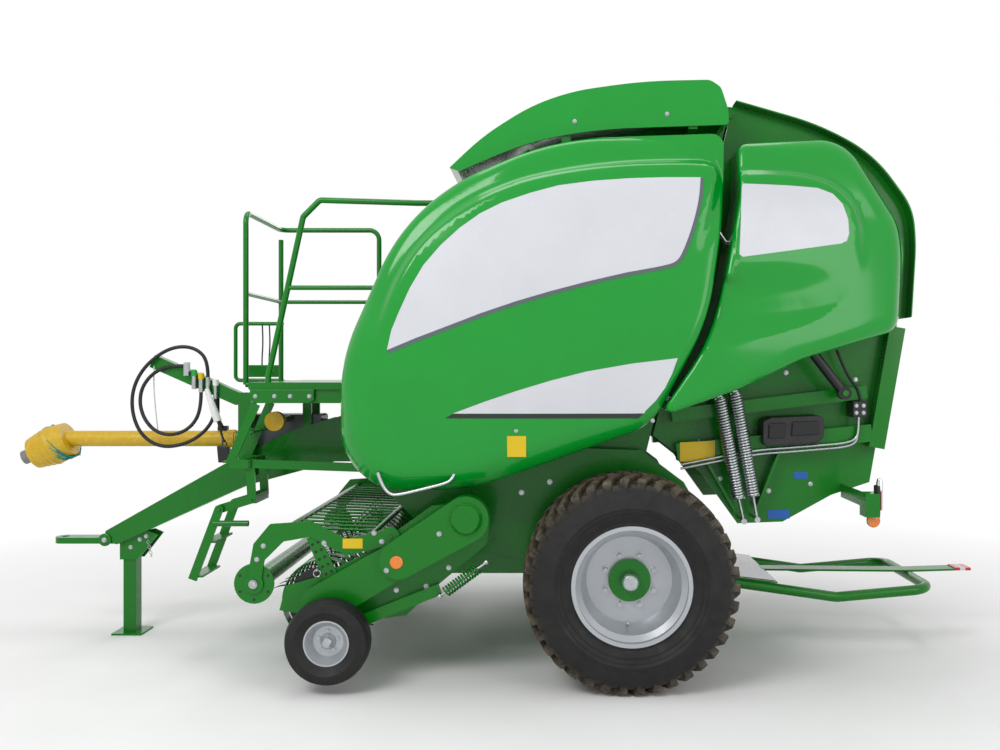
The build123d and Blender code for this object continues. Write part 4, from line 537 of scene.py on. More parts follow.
def make_cover(name, rows, surface, root, side, body, ridges):
    """Pressed cover sheet from its outline, face and root, with its edge rolled over."""
    outline = rounded_outline(rows, COVER_STEP)
    count = len(outline)
    inward = []
    for i in range(count):
        run = outline[(i + 1) % count][0] - outline[i - 1][0]
        inward.append(Vector((run.y, -run.x)).normalized())
    middle = sum((spot for spot, width in outline), Vector((0, 0))) / count
    if inward[0].dot(middle - outline[0][0]) < 0:
        inward = [-way for way in inward]
    build = bmesh.new()
    rings = []
    # The first ring is the root of the skirt; the rest climb the rolled edge
    for share in (None,) + ROLL_SHARES:
        ring = []
        for (spot, width), way in zip(outline, inward):
            q = spot + way * width * (share or 0)
            fall = width * ROLL_DROP * (1 - math.sqrt(max(0, 1 - (1 - (share or 0)) ** 2)))
            depth = root if share is None else max(surface(q.x, q.y) - fall, root + COVER_WALL)
            ring.append(build.verts.new((q.x, side * depth, q.y)))
        rings.append(ring)
    for low, high in zip(rings, rings[1:]):
        for i in range(count):
            j = (i + 1) % count
            build.faces.new((low[i], low[j], high[j], high[i]))
    # Even fill of the face within the rolled edge
    rim = [(vert.co.x, vert.co.z) for vert in rings[-1]]
    places = list(rim)
    near = nearest_tree(rim)
    for spot in ridges:
        if inside(spot.x, spot.y, rim) and near.find((spot.x, 0, spot.y))[2] > 0.5 * COVER_CELL:
            places.append((spot.x, spot.y))
    near = nearest_tree(places)
    low_x, high_x = min(p[0] for p in rim), max(p[0] for p in rim)
    low_z, high_z = min(p[1] for p in rim), max(p[1] for p in rim)
    for k in range(1, int((high_x - low_x) / COVER_CELL)):
        for m in range(1, int((high_z - low_z) / COVER_CELL)):
            x = low_x + k * COVER_CELL + (m % 2) * COVER_CELL / 2
            z = low_z + m * COVER_CELL
            if inside(x, z, rim) and near.find((x, 0, z))[2] > 0.6 * COVER_CELL:
                places.append((x, z))
    made = delaunay_2d_cdt([Vector(p) for p in places], [], [list(range(count))], 1, WELD)
    verts = []
    for spot, sources in zip(made[0], made[3]):
        known = [index for index in sources if index < count]
        if known:
            verts.append(rings[-1][known[0]])
        else:
            verts.append(build.verts.new((spot.x, side * surface(spot.x, spot.y), spot.y)))
    for corners in made[2]:
        build.faces.new([verts[index] for index in corners])
    bmesh.ops.recalc_face_normals(build, faces=build.faces)
    if sum(face.normal.y * face.calc_area() * side for face in build.faces) < 0:
        bmesh.ops.reverse_faces(build, faces=build.faces)
    skin = finish_mesh(name, build, cover_green, body)
    sheet = skin.modifiers.new("sheet", "SOLIDIFY")
    sheet.thickness = COVER_WALL * 0.5
    sheet.offset = -1
    return skin


def lines(points):
    """Places of an open line, with its bends cut softer twice over."""
    line = [Vector(point) for point in points]
    for cut in range(2):
        softer = [line[0]]
        for a, b in zip(line, line[1:]):
            softer += [a.lerp(b, 0.25), a.lerp(b, 0.75)]
        line = softer + [line[-1]]
    return line


# Rows of the covers' outlines: x, z, corner radius, width of the rolled edge
FRONT_ROWS = [
    (1.305, 2.96, 0.063, 0.05), (0.4209, 2.9309, 1.47, 0.05), (-0.3748, 2.603, 1.05, 0.06),
    (-0.7453, 1.7805, 1.16, 0.09), (-0.8, 1.02, 0.347, 0.15), (-0.059, 1.0297, 1.05, 0.16),
    (0.905, 1.3847, 0.295, 0.1), (1.1998, 1.9493, 1.16, 0.05), (1.3008, 2.5992, 2.1, 0.045),
]

# The crease runs from the pocket's top edge, round its front and down to the cover's foot
CREASE_LINE = [
    (0.166, 2.647), (-0.109, 2.512), (-0.327, 2.317), (-0.449, 2.109), (-0.529, 1.844),
    (-0.573, 1.657), (-0.594, 1.466),
]
FRONT_CREASE = lines(CREASE_LINE + [(-0.607, 1.269), (-0.6, 1.0)])
CREASE_START = CREASE_LINE[0][0]
CREASE_FADE = 0.4
CREASE_SLOPE = 0.16
FLANGE_Y = 0.974  # half width that the face never falls below
POCKET_DEPTH, POCKET_WIDTH = 0.05, 0.055
POCKET_FOOT, POCKET_SLOPE, POCKET_FADE = 1.92, 0.3, 0.35
FRONT_POCKET = (
    lines([
        (1.04, 2.11), (1.1, 2.26), (1.149, 2.391), (1.196, 2.52), (1.229, 2.666), (1.239, 2.748),
        (1.205, 2.77), (1.005, 2.768), (0.723, 2.752), (0.443, 2.713),
    ] + CREASE_LINE),
    POCKET_DEPTH, POCKET_WIDTH, POCKET_FOOT, POCKET_SLOPE, POCKET_FADE,
)


def front_face(x, z):
    """Half width of the front cover's face."""
    gap, side = line_distance(Vector((x, z)), FRONT_CREASE)
    fall = CREASE_SLOPE * gap * smooth_step((CREASE_START - x) / CREASE_FADE) if side > 0 else 0.0
    return max(bulge(x, z) - pocket_depth(x, z, FRONT_POCKET) - fall, FLANGE_Y)


REAR_ROWS = [
    (1.3897, 2.9148, 0.058, 0.05), (2.0103, 2.985, 0.261, 0.09), (2.38, 2.4203, 0.435, 0.12),
    (2.3003, 1.8992, 0.13, 0.1), (1.7203, 1.7354, 0.58, 0.07), (1.3607, 1.5701, 0.435, 0.06),
    (0.93, 1.425, 0.029, 0.03), (1.2345, 1.8696, 1.16, 0.03), (1.3853, 2.62, 0.51, 0.03),
]
REAR_FACE = lines([
    (1.213, 1.779), (1.685, 1.887), (1.887, 1.981), (1.995, 2.075), (2.035, 2.21), (2.041, 2.344),
    (2.042, 2.479), (2.008, 2.587), (1.9, 2.681), (1.725, 2.725), (1.388, 2.722), (1.36, 2.70),
    (1.352, 2.5),
])
# In plan, the rear cover turns in along the circle through three places, (x, half width)
PLAN_X, PLAN_Y, PLAN_RADIUS = circle_through((1.5825, 1.265), (2.177, 1.036), (2.38, 0.723))
PLAN_BLEND = 0.06
SILL_SLOPE, SILL_TOP, SILL_FADE = 0.55, 2.3, 0.45
PANEL_STEP, PANEL_WIDTH, PANEL_RUN = 0.035, 0.05, 0.5
PANEL_FOOT, PANEL_FADE = 2.2, 0.35


def rear_face(x, z):
    """Half width of the rear cover's face: the bulge, turned in towards the back."""
    wide = bulge(x, z)
    turned_in = PLAN_Y + math.sqrt(max(PLAN_RADIUS**2 - (x - PLAN_X) ** 2, 0)) if x > PLAN_X else FAR
    h = min(max(0.5 + 0.5 * (turned_in - wide) / PLAN_BLEND, 0), 1)
    base = turned_in * (1 - h) + wide * h - PLAN_BLEND * h * (1 - h)
    gap, side = line_distance(Vector((x, z)), REAR_FACE)
    if side < 0:
        return base - SILL_SLOPE * gap * smooth_step((SILL_TOP - z) / SILL_FADE)
    step = PANEL_STEP * smooth_step(gap / PANEL_WIDTH) * max(0, 1 - max(gap - PANEL_WIDTH, 0) / PANEL_RUN)
    return base - step * smooth_step((z - PANEL_FOOT) / PANEL_FADE)


# Distances inside each line at which the face's mesh gets places
FRONT_GAPS = (0, 0.015, 0.03, 0.045, 0.06, 0.08)
REAR_GAPS = (0, 0.0125, 0.025, 0.0375, 0.05, 0.07)
FRONT_RIDGES = (
    ridge_places(FRONT_POCKET[0], FRONT_GAPS, COVER_STEP) + ridge_places(FRONT_CREASE, (0,), COVER_STEP)
)
REAR_RIDGES = ridge_places(REAR_FACE, REAR_GAPS, COVER_STEP)

FILM_LIFT = 0.0012
LINE_LIFT = 0.0016  # the thin lines lie over the white fields
FILM_CELL = 0.03


def drape(name, points, surface, side, finish, body, lift=FILM_LIFT):
    """Thin film laid on a cover's face, from its outline in (x, z)."""
    build = bmesh.new()
    build.faces.new([build.verts.new((x, 0, z)) for x, z in points])
    low = [min(p[k] for p in points) for k in (0, 1)]
    high = [max(p[k] for p in points) for k in (0, 1)]
    for axis, normal in ((0, (1, 0, 0)), (1, (0, 0, 1))):
        for k in range(1, int((high[axis] - low[axis]) / FILM_CELL) + 1):
            place = low[axis] + k * FILM_CELL
            bmesh.ops.bisect_plane(
                build, geom=build.verts[:] + build.edges[:] + build.faces[:],
                plane_co=(place, 0, 0) if axis == 0 else (0, 0, place), plane_no=normal,
            )
    for vert in build.verts:
        vert.co.y = side * (surface(vert.co.x, vert.co.z) + lift)
    bmesh.ops.recalc_face_normals(build, faces=build.faces)
    if sum(face.normal.y * side for face in build.faces) < 0:
        bmesh.ops.reverse_faces(build, faces=build.faces)
    return finish_mesh(name, build, finish, body)


def band(points, width):
    """Outline of a strip beside a line of (x, z) points: on its left where width is negative."""
    line = lines(points)
    far = []
    for i, spot in enumerate(line):
        run = line[min(i + 1, len(line) - 1)] - line[max(i - 1, 0)]
        far.append(spot + Vector((run.y, -run.x)).normalized() * width)
    return [tuple(p) for p in line] + [tuple(p) for p in reversed(far)]


# Outlines of the films, in (x, z)
UPPER_FIELD = [
    (-0.492, 1.781), (-0.468, 1.886), (-0.43, 1.977), (-0.371, 2.106), (-0.3, 2.227), (-0.21, 2.332),
    (-0.111, 2.423), (-0.007, 2.498), (0.108, 2.557), (0.256, 2.609), (0.407, 2.651), (0.59, 2.677),
    (0.78, 2.693), (0.97, 2.702), (1.166, 2.706), (1.157, 2.611), (1.138, 2.519), (1.102, 2.401),
    (1.057, 2.29), (1.03, 2.25), (0.982, 2.228), (0.764, 2.187), (0.552, 2.137), (0.367, 2.088),
    (0.187, 2.035), (0.003, 1.973), (-0.18, 1.903), (-0.338, 1.844),
]
UPPER_FOOT = 14  # where the field's outline starts down its rear edge
LINE_WIDTH = 0.02
UPPER_LINE = band(UPPER_FIELD[UPPER_FOOT:] + UPPER_FIELD[:1], -LINE_WIDTH)
LOWER_FIELD = [
    (-0.146, 1.449), (0.017, 1.51), (0.185, 1.567), (0.367, 1.622), (0.552, 1.669), (0.789, 1.71),
    (1.031, 1.739), (1.001, 1.656), (0.964, 1.582), (0.917, 1.517), (0.862, 1.462), (0.855, 1.449),
]
LOWER_LINE = [(-0.19, 1.423), (-0.146, 1.447), (0.853, 1.447), (0.825, 1.423)]
FRONT_LABEL = [(0.137, 1.22), (0.137, 1.331), (0.236, 1.331), (0.236, 1.22)]
REAR_FIELD = [
    (1.398, 2.678), (1.65, 2.676), (1.82, 2.668), (1.905, 2.64), (1.96, 2.585), (1.988, 2.5), (1.99, 2.42),
    (1.975, 2.378), (1.94, 2.362), (1.66, 2.318), (1.385, 2.277), (1.366, 2.29), (1.38, 2.5), (1.39, 2.66),
]
FRONT_FILMS = (
    ("upper_field_", UPPER_FIELD, white_film, FILM_LIFT),
    ("upper_line_", UPPER_LINE, slate_film, LINE_LIFT),
    ("lower_field_", LOWER_FIELD, white_film, FILM_LIFT),
    ("lower_line_", LOWER_LINE, dark_film, FILM_LIFT),
    ("front_label_", FRONT_LABEL, yellow_film, FILM_LIFT),
)
FRONT_ROOT, REAR_ROOT = 0.96, 0.7303  # half widths at which the covers' skirts end
for side_name, side in SIDES:
    body = "cover_" + side_name
    skin = make_cover(
        "front_cover_skin_" + side_name, FRONT_ROWS, front_face, FRONT_ROOT, side, body, FRONT_RIDGES,
    )
    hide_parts("front_cover_" + side_name)
    for label, outline, finish, lift in FRONT_FILMS:
        drape(label + side_name, outline, front_face, side, finish, body, lift)
    rear_skin = make_cover(
        "rear_cover_skin_" + side_name, REAR_ROWS, rear_face, REAR_ROOT, side, "tailgate", REAR_RIDGES,
    )
    if side < 0:
        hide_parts("rear_covers")
    drape("rear_field_" + side_name, REAR_FIELD, rear_face, side, white_film, "tailgate")


# Small parts
# Turned, bent and flat pieces are each one mesh, shaped from a few rows of real sizes.
def turn_shape(build, start, way, profile, sides):
    """Adds a turned shape: a profile of (distance along the way, radius) round a line."""
    way = Vector(way).normalized()
    across = way.orthogonal().normalized()
    upright = way.cross(across)
    rings = []
    for along, radius in profile:
        ring = []
        for k in range(sides):
            turn = 2 * math.pi * k / sides
            out = across * math.cos(turn) + upright * math.sin(turn)
            ring.append(build.verts.new(Vector(start) + way * along + out * radius))
        rings.append(ring)
    for low, high in zip(rings, rings[1:]):
        for k in range(sides):
            build.faces.new((low[k], low[(k + 1) % sides], high[(k + 1) % sides], high[k]))
    if profile[0] == profile[-1]:
        bmesh.ops.remove_doubles(build, verts=rings[0] + rings[-1], dist=WELD)
        return
    for ring in (rings[0], rings[-1]):
        build.faces.new(ring)


SPLIT_ANGLE = math.radians(35)  # sharper edges of a turned piece stay sharp


def turned(name, rows, finish, body, sides=28):
    """Turned pieces as one mesh, from rows of (start, way, profile)."""
    build = bmesh.new()
    for start, way, profile in rows:
        turn_shape(build, start, way, profile, sides)
    bmesh.ops.recalc_face_normals(build, faces=build.faces)
    piece = finish_mesh(name, build, finish, body)
    edges = piece.modifiers.new("edges", "EDGE_SPLIT")
    edges.split_angle = SPLIT_ANGLE
    return piece


def bolts(name, places, way, size, body):
    """Hexagon bolt heads on washers, size being half the head's width."""
    build = bmesh.new()
    for place in places:
        washer = [(0, 1.25), (0.2, 1.25), (0.2, 0.6)]
        head = [(0, 1.0), (0.85, 1.0), (0.95, 0.85)]
        for profile, sides in ((washer, 24), (head, 6)):
            turn_shape(build, place, way, [(size * along, size * out) for along, out in profile], sides)
    bmesh.ops.recalc_face_normals(build, faces=build.faces)
    return finish_mesh(name, build, steel, body, smooth=False)


def flat_pieces(name, outlines, low_y, high_y, finish, body, rounding=0.002):
    """Flat plates with eased edges, as one mesh, from outlines of (x, z)."""
    build = bmesh.new()
    for outline in outlines:
        front = [build.verts.new((x, low_y, z)) for x, z in outline]
        rear = [build.verts.new((x, high_y, z)) for x, z in outline]
        count = len(outline)
        build.faces.new(front)
        build.faces.new(list(reversed(rear)))
        for i in range(count):
            build.faces.new((front[i], front[(i + 1) % count], rear[(i + 1) % count], rear[i]))
    bmesh.ops.recalc_face_normals(build, faces=build.faces)
    piece = finish_mesh(name, build, finish, body, smooth=False)
    eased = piece.modifiers.new("eased edges", "BEVEL")
    eased.width = rounding
    eased.segments = 2
    return piece


def box_outline(low, high):
    """Corners of an upright rectangle between two (x, z) corners."""
    return [low, (high[0], low[1]), high, (low[0], high[1])]


def at_y(places, y):
    """Places in (x, z) put at one y."""
    return [(x, y, z) for x, z in places]


def circle_places(middle, radius, count, start):
    """Places evenly round an upright circle, the first at the angle start."""
    x, y, z = middle
    turns = [2 * math.pi * k / count + start for k in range(count)]
    return [(x + radius * math.cos(turn), y, z + radius * math.sin(turn)) for turn in turns]


def coil(name, rows, finish, body, sides=8, steps=18):
    """Close-wound wire springs as one mesh, from rows of (start, end, coil radius, wire radius, pitch)."""
    build = bmesh.new()
    for start, end, coil_radius, wire, pitch in rows:
        start, end = Vector(start), Vector(end)
        way = (end - start).normalized()
        across = way.orthogonal().normalized()
        upright = way.cross(across)
        count = int((end - start).length / pitch * steps)
        rings = []
        for k in range(count + 1):
            turn = 2 * math.pi * k / steps
            out = across * math.cos(turn) + upright * math.sin(turn)
            middle = start + way * (pitch * k / steps) + out * coil_radius
            ring = []
            for m in range(sides):
                a = 2 * math.pi * m / sides
                ring.append(build.verts.new(middle + out * wire * math.cos(a) + way * wire * math.sin(a)))
            rings.append(ring)
        for low, high in zip(rings, rings[1:]):
            for m in range(sides):
                build.faces.new((low[m], low[(m + 1) % sides], high[(m + 1) % sides], high[m]))
        build.faces.new(rings[0])
        build.faces.new(rings[-1])
    bmesh.ops.recalc_face_normals(build, faces=build.faces)
    return finish_mesh(name, build, finish, body)


def film(name, outline, y, side, finish, body):
    """Blank film on a flat face at half width y."""
    build = bmesh.new()
    build.faces.new([build.verts.new(place) for place in at_y(outline, side * (y + FILM_LIFT))])
    bmesh.ops.recalc_face_normals(build, faces=build.faces)
    if sum(face.normal.y for face in build.faces) * side < 0:
        bmesh.ops.reverse_faces(build, faces=build.faces)
    return finish_mesh(name, build, finish, body, smooth=False)


def ring_profile(radius, wire):
    """Profile of a closed ring of round wire, which ends where it starts."""
    turns = [2 * math.pi * k / 8 for k in range(8)]
    profile = [(wire * math.sin(turn), radius + wire * math.cos(turn)) for turn in turns]
    return profile + profile[:1]


# Turned profiles, in rows of (distance along the axis, radius)
HUB_CAP = [(0, 0.0515), (0.05, 0.0505), (0.068, 0.046), (0.0765, 0.036), (0.078, 0.01)]
VALVE_STEM = [(0, 0.006), (0.03, 0.006), (0.03, 0.0045), (0.045, 0.0045)]
GAUGE_CAP = [(0, 0.03), (0.018, 0.028), (0.026, 0.02), (0.027, 0.008)]
SPRING_END = [(-0.004, 0.03), (0.008, 0.034), (0.012, 0.034)]
SPRING_PIN = [(0, 0.009), (0.16, 0.009), (0.162, 0.016), (0.172, 0.016)]
SIDE_LAMP = [(0, 0.034), (0.006, 0.034), (0.01, 0.028), (0.011, 0.01)]
TUBE_LAMP = [(0, 0.012), (0.006, 0.018), (0.15, 0.018), (0.17, 0.012), (0.172, 0.004)]
REFLECTOR = [(0, 0.034), (0.005, 0.034), (0.008, 0.03), (0.0085, 0.01)]
CHAIN_BOSS = [(0, 0.086), (0.006, 0.084), (0.012, 0.077), (0.024, 0.074), (0.029, 0.068), (0.03, 0.01)]
# Thin dark discs of painted shade, one in each hole of the roller's plate and of the height strip
ROLLER_HOLE_SHADE = [(0, 0.008), (0.0006, 0.008)]
STRIP_HOLE_SHADE = [(0, 0.0085), (0.0004, 0.0085)]
STRIP_PIN = [(0, 0.008), (0.03, 0.008), (0.034, 0.005)]
FLOAT_ROD = [(0, 0.014), (0.015, 0.014), (0.018, 0.007), (0.3, 0.007), (0.302, 0.014), (0.318, 0.014)]
NOSE_BOSS = [(0, 0.04), (0.012, 0.04), (0.016, 0.034), (0.016, 0.01)]
COUPLER_CAP = [(0, 0.017), (0.02, 0.0185), (0.034, 0.0185), (0.04, 0.012), (0.041, 0.004)]
ROD_SLEEVE = [(0, 0.012), (0.01, 0.015), (0.19, 0.024), (0.21, 0.024), (0.212, 0.008)]
SLEEVE_ROD = [(-0.02, 0.007), (0.125, 0.007), (0.126, 0.012), (0.14, 0.012)]
RAIL_END = [(0, 0.017), (0.12, 0.017), (0.12, 0.028), (0.128, 0.028)]
FRONT_COLLAR = [(0, 0.05), (0.002, 0.058), (0.022, 0.058), (0.024, 0.05)]
REAR_COLLAR = [(0, 0.05), (0.002, 0.057), (0.05, 0.057), (0.052, 0.05)]

# Screws and bolts on each side, in (x, z)
COVER_SCREWS = ((0.1843, 1.3595), (0.9005, 1.4105))
HOOD_SCREWS = ((0.497, 3.043), (1.005, 3.084))
TAILGATE_BOLTS = (
    (1.22, 1.26), (1.34, 1.05), (1.62, 0.98), (1.86, 1.02), (2.02, 1.3), (2.12, 1.62), (1.72, 1.66),
)
CHASSIS_BOLTS = ((0.2, 0.98), (0.36, 1.04), (0.98, 0.98), (1.16, 0.86), (1.2, 0.7), (0.3, 0.72))
CHAIN_COVER_SCREWS = ((-0.494, 0.629), (-0.2175, 0.82))
ARM_BOLTS = ((-0.575, 0.808), (-0.534, 0.763), (-0.841, 0.755), (-1.164, 0.74), (-1.199, 0.668))
SIDE_PLATE_BOLTS = ((-0.62, 0.52), (-0.46, 0.5), (-0.3, 0.52), (-0.18, 0.62))

# Half widths of the flat faces that carry small parts
DISC_Y, HUB_FACE_Y, VALVE_Y = 1.09, 1.118, 1.112
HOOD_Y, TAILGATE_Y, CHASSIS_Y = 0.9, 0.644, 0.722
CHAIN_COVER_Y = {"left": 1.174, "right": 1.132}
GUARD_ARM_Y, SIDE_PLATE_Y, ROLLER_PLATE_Y, ROLLER_NUT_Y = 1.0765, 1.056, 1.0636, 1.081
LAMP_Y, SIDE_LAMP_Y = 1.05, 1.054
LENS_HALF, LAMP_HALF = 0.026, 0.03
GAUGE_DISC_GAP, GAUGE_HUB_GAP = 0.001, 0.026

# Heads: half of a hexagon's width
WHEEL_NUT, GAUGE_NUT, SCREW, BOLT, CHASSIS_BOLT, ROLLER_NUT = 0.017, 0.009, 0.009, 0.011, 0.012, 0.019

STUDS, STUD_CIRCLE = 8, 0.1375
VALVE_DROP, VALVE_SHIFT, VALVE_WAY = 0.232, 0.012, (0, 0.35)
TYRE_RINGS = ((0.365, 0.228), (0.39, 0.24))  # radius, distance from the tyre's middle plane
TYRE_RING_WIRE = 0.0035
GAUGE = (-0.787, 1.222, 0.273)
GAUGE_NUTS, GAUGE_NUT_CIRCLE, GAUGE_NUT_START = 5, 0.052, 0.3
ROLLER = (-1.218, 0.536)
ROLLER_HOLES, ROLLER_HOLE_CIRCLE = 6, 0.086

# Tailgate springs, in (x, z): top and foot of the coil, and the rod's anchor
SPRING_ROWS = (
    ((1.311, 1.52), (1.417, 0.957), (1.445, 0.83)),
    ((1.397, 1.549), (1.498, 0.971), (1.52, 0.84)),
)
SPRING_Y, SPRING_PIN_Y = 0.8, 0.6483
SPRING_COIL, SPRING_WIRE, SPRING_PITCH = 0.0313, 0.0075, 0.0156
SPRING_OVERLAP = 0.1  # how far the rod reaches into the coil, as a share of its length

# Cover handle's route, in (x, half width, z)
HANDLE = (
    (-0.553, 1.085, 1.13), (-0.53, 1.1, 1.07), (-0.488, 1.118, 1.021), (-0.443, 1.122, 1.015),
    (-0.32, 1.124, 1.045), (-0.187, 1.122, 1.077), (-0.155, 1.115, 1.1), (-0.139, 1.09, 1.14),
)

for side_name, side in SIDES:
    out = (0, side, 0)
    # Wheel nuts, valve, hub cap and the rings moulded on the tyre
    wheel_body = "wheel_" + side_name
    stud_middle = (WHEEL[0], side * DISC_Y, WHEEL[2])
    bolts(
        "wheel_nuts_" + side_name, circle_places(stud_middle, STUD_CIRCLE, STUDS, math.pi / STUDS),
        out, WHEEL_NUT, wheel_body,
    )
    hub_face = (WHEEL[0], side * HUB_FACE_Y, WHEEL[2])
    turned("hub_cap_" + side_name, [(hub_face, out, HUB_CAP)], steel, wheel_body, 36)
    valve_place = (WHEEL[0] - VALVE_SHIFT, side * VALVE_Y, WHEEL[2] - VALVE_DROP)
    turned(
        "valve_" + side_name, [(valve_place, (VALVE_WAY[0], side, VALVE_WAY[1]), VALVE_STEM)],
        steel, wheel_body, 12,
    )
    for radius, depth in TYRE_RINGS:
        for face_side in (-1, 1):
            middle = (WHEEL[0], side * WHEEL[1] + face_side * depth, WHEEL[2])
            turned(
                "tyre_ring_%s_%d_%d" % (side_name, radius * 1000, face_side + 1),
                [(middle, out, ring_profile(radius, TYRE_RING_WIRE))], tyre_rubber, wheel_body, 96,
            )
    gauge_body = "gauge_wheel_" + side_name
    gauge_disc = (GAUGE[0], side * (GAUGE[1] + GAUGE_DISC_GAP), GAUGE[2])
    bolts(
        "gauge_nuts_" + side_name, circle_places(gauge_disc, GAUGE_NUT_CIRCLE, GAUGE_NUTS, GAUGE_NUT_START),
        out, GAUGE_NUT, gauge_body,
    )
    gauge_hub = (GAUGE[0], side * (GAUGE[1] + GAUGE_HUB_GAP), GAUGE[2])
    turned("gauge_cap_" + side_name, [(gauge_hub, out, GAUGE_CAP)], steel, gauge_body, 24)

    # Close-wound tailgate springs with their rods and pins
    coils, rods = [], []
    for places in SPRING_ROWS:
        top, foot, anchor = (Vector(place) for place in at_y(places, side * SPRING_Y))
        coils.append((top, foot, SPRING_COIL, SPRING_WIRE, SPRING_PITCH))
        run = anchor - foot
        rod_length = run.length * (1 + SPRING_OVERLAP)
        rod = [(0, 0.034), (0.012, 0.034), (0.02, 0.009), (rod_length, 0.009)]
        rods.append((foot - run * SPRING_OVERLAP, run, rod))
        rods.append((top, run, SPRING_END))
        for place in (top, anchor):
            rods.append(((place.x, side * SPRING_PIN_Y, place.z), out, SPRING_PIN))
    wound = coil("tailgate_coils_" + side_name, coils, steel, "tailgate")
    turned("spring_rods_" + side_name, rods, steel, "tailgate", 16)
    if side < 0:
        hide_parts("tailgate_springs")

    # Cover handle, bent from round tube, and the screws of the covers and the hood
    smooth_line(
        "cover_handle_" + side_name, [(x, side * y, z) for x, y, z in HANDLE], 0.01, steel,
        "cover_" + side_name,
    )
    bolts(
        "cover_screws_" + side_name, [(x, side * (front_face(x, z) - 0.001), z) for x, z in COVER_SCREWS],
        out, SCREW, "cover_" + side_name,
    )
    bolts("hood_screws_" + side_name, at_y(HOOD_SCREWS, side * HOOD_Y), out, 0.01, "base")

    # Amber side lamp, bright tube lamp and red rear lens
    lamp_foot = (2.091, side * SIDE_LAMP_Y, 0.87)
    turned("side_lamp_" + side_name, [(lamp_foot, out, SIDE_LAMP)], amber_lens, "tailgate", 32)
    tube_foot = (2.125, side * LAMP_Y, 0.925)
    turned("tube_lamp_" + side_name, [(tube_foot, (0, 0, 1), TUBE_LAMP)], chrome, "tailgate", 20)
    flat_pieces(
        "rear_lens_" + side_name, [box_outline((2.122, 0.93), (2.128, 1.03))],
        side * LAMP_Y - LENS_HALF, side * LAMP_Y + LENS_HALF, red_lens, "tailgate",
    )

    # Bolt heads along the tailgate's wall and the chassis plate
    bolts("tailgate_bolts_" + side_name, at_y(TAILGATE_BOLTS, side * TAILGATE_Y), out, BOLT, "tailgate")
    bolts("chassis_bolts_" + side_name, at_y(CHASSIS_BOLTS, side * CHASSIS_Y), out, CHASSIS_BOLT, "base")

    # Amber reflector and screws of the chain cover, bolts of the guard's arm and the side plate
    cover_y = side * CHAIN_COVER_Y[side_name]
    turned("reflector_" + side_name, [((-0.441, cover_y, 0.671), out, REFLECTOR)], amber_lens, "pickup", 32)
    bolts("chain_cover_screws_" + side_name, at_y(CHAIN_COVER_SCREWS, cover_y), out, BOLT, "pickup")
    bolts("arm_bolts_" + side_name, at_y(ARM_BOLTS, side * GUARD_ARM_Y), out, BOLT, "guard")
    bolts("side_plate_bolts_" + side_name, at_y(SIDE_PLATE_BOLTS, side * SIDE_PLATE_Y), out, BOLT, "pickup")

    # Domed boss of the upper chain cover, the crop roller's end plate with dark discs of painted shade in
    # its holes, and the lamp's housing
    turned("chain_boss_" + side_name, [((-0.078, cover_y, 0.897), out, CHAIN_BOSS)], green, "pickup", 40)
    roller_plate = (ROLLER[0], side * ROLLER_PLATE_Y, ROLLER[1])
    hole_shade_places = circle_places(roller_plate, ROLLER_HOLE_CIRCLE, ROLLER_HOLES, math.pi / ROLLER_HOLES)
    # Painted shade: a thin dark disc in each hole of the roller's plate
    turned(
        "roller_hole_shades_" + side_name, [(place, out, ROLLER_HOLE_SHADE) for place in hole_shade_places],
        black_plastic_and_hole_shade, "guard_roller", 16,
    )
    bolts("roller_nut_" + side_name, at_y([ROLLER], side * ROLLER_NUT_Y), out, ROLLER_NUT, "guard")
    flat_pieces(
        "lamp_tube_" + side_name, [box_outline((2.1, 0.9), (2.122, 1.06))],
        side * LAMP_Y - LAMP_HALF, side * LAMP_Y + LAMP_HALF, black_plastic_and_hole_shade, "tailgate", 0.008,
    )

# Height strip of the pick-up with its pin and ring, and its two rows of holes as dark discs of painted
# shade
LEFT = (0, -1, 0)
STRIP_FOOT, STRIP_HEAD = Vector((-0.77, 0.49)), Vector((-0.908, 0.79))
STRIP_FOOT_HALF, STRIP_HEAD_HALF = 0.045, 0.032
STRIP_OUTER, STRIP_INNER = -1.068, -1.056
HOLE_START, HOLE_SPACING, HOLE_OFFSET = 0.03, 0.043, 0.016
strip_way = (STRIP_HEAD - STRIP_FOOT).normalized()
strip_side = Vector((strip_way.y, -strip_way.x))
strip_corners = [
    tuple(STRIP_FOOT - strip_side * STRIP_FOOT_HALF), tuple(STRIP_FOOT + strip_side * STRIP_FOOT_HALF),
    tuple(STRIP_HEAD + strip_side * STRIP_HEAD_HALF), tuple(STRIP_HEAD - strip_side * STRIP_HEAD_HALF),
]
flat_pieces("height_strip", [strip_corners], STRIP_OUTER, STRIP_INNER, green, "pickup")
# Painted shade: a thin dark disc in each hole of the strip
holes = []
for k in range(7):
    for offset in (-HOLE_OFFSET, HOLE_OFFSET):
        spot = STRIP_FOOT + strip_way * (HOLE_START + HOLE_SPACING * k) + strip_side * offset
        holes.append(((spot.x, STRIP_OUTER - 0.0002, spot.y), LEFT, STRIP_HOLE_SHADE))
turned("strip_hole_shades", holes, black_plastic_and_hole_shade, "pickup", 16)
turned(
    "strip_pin",
    [
        ((-0.876, STRIP_OUTER, 0.614), LEFT, STRIP_PIN),
        ((-0.876, -1.09, 0.596), (0.2, -1, 0.1), ring_profile(0.018, 0.0025)),
    ],
    steel, "pickup", 20,
)
film("guard_label", box_outline((-0.742, 0.726), (-0.636, 0.779)), GUARD_ARM_Y, -1, yellow_film, "guard")

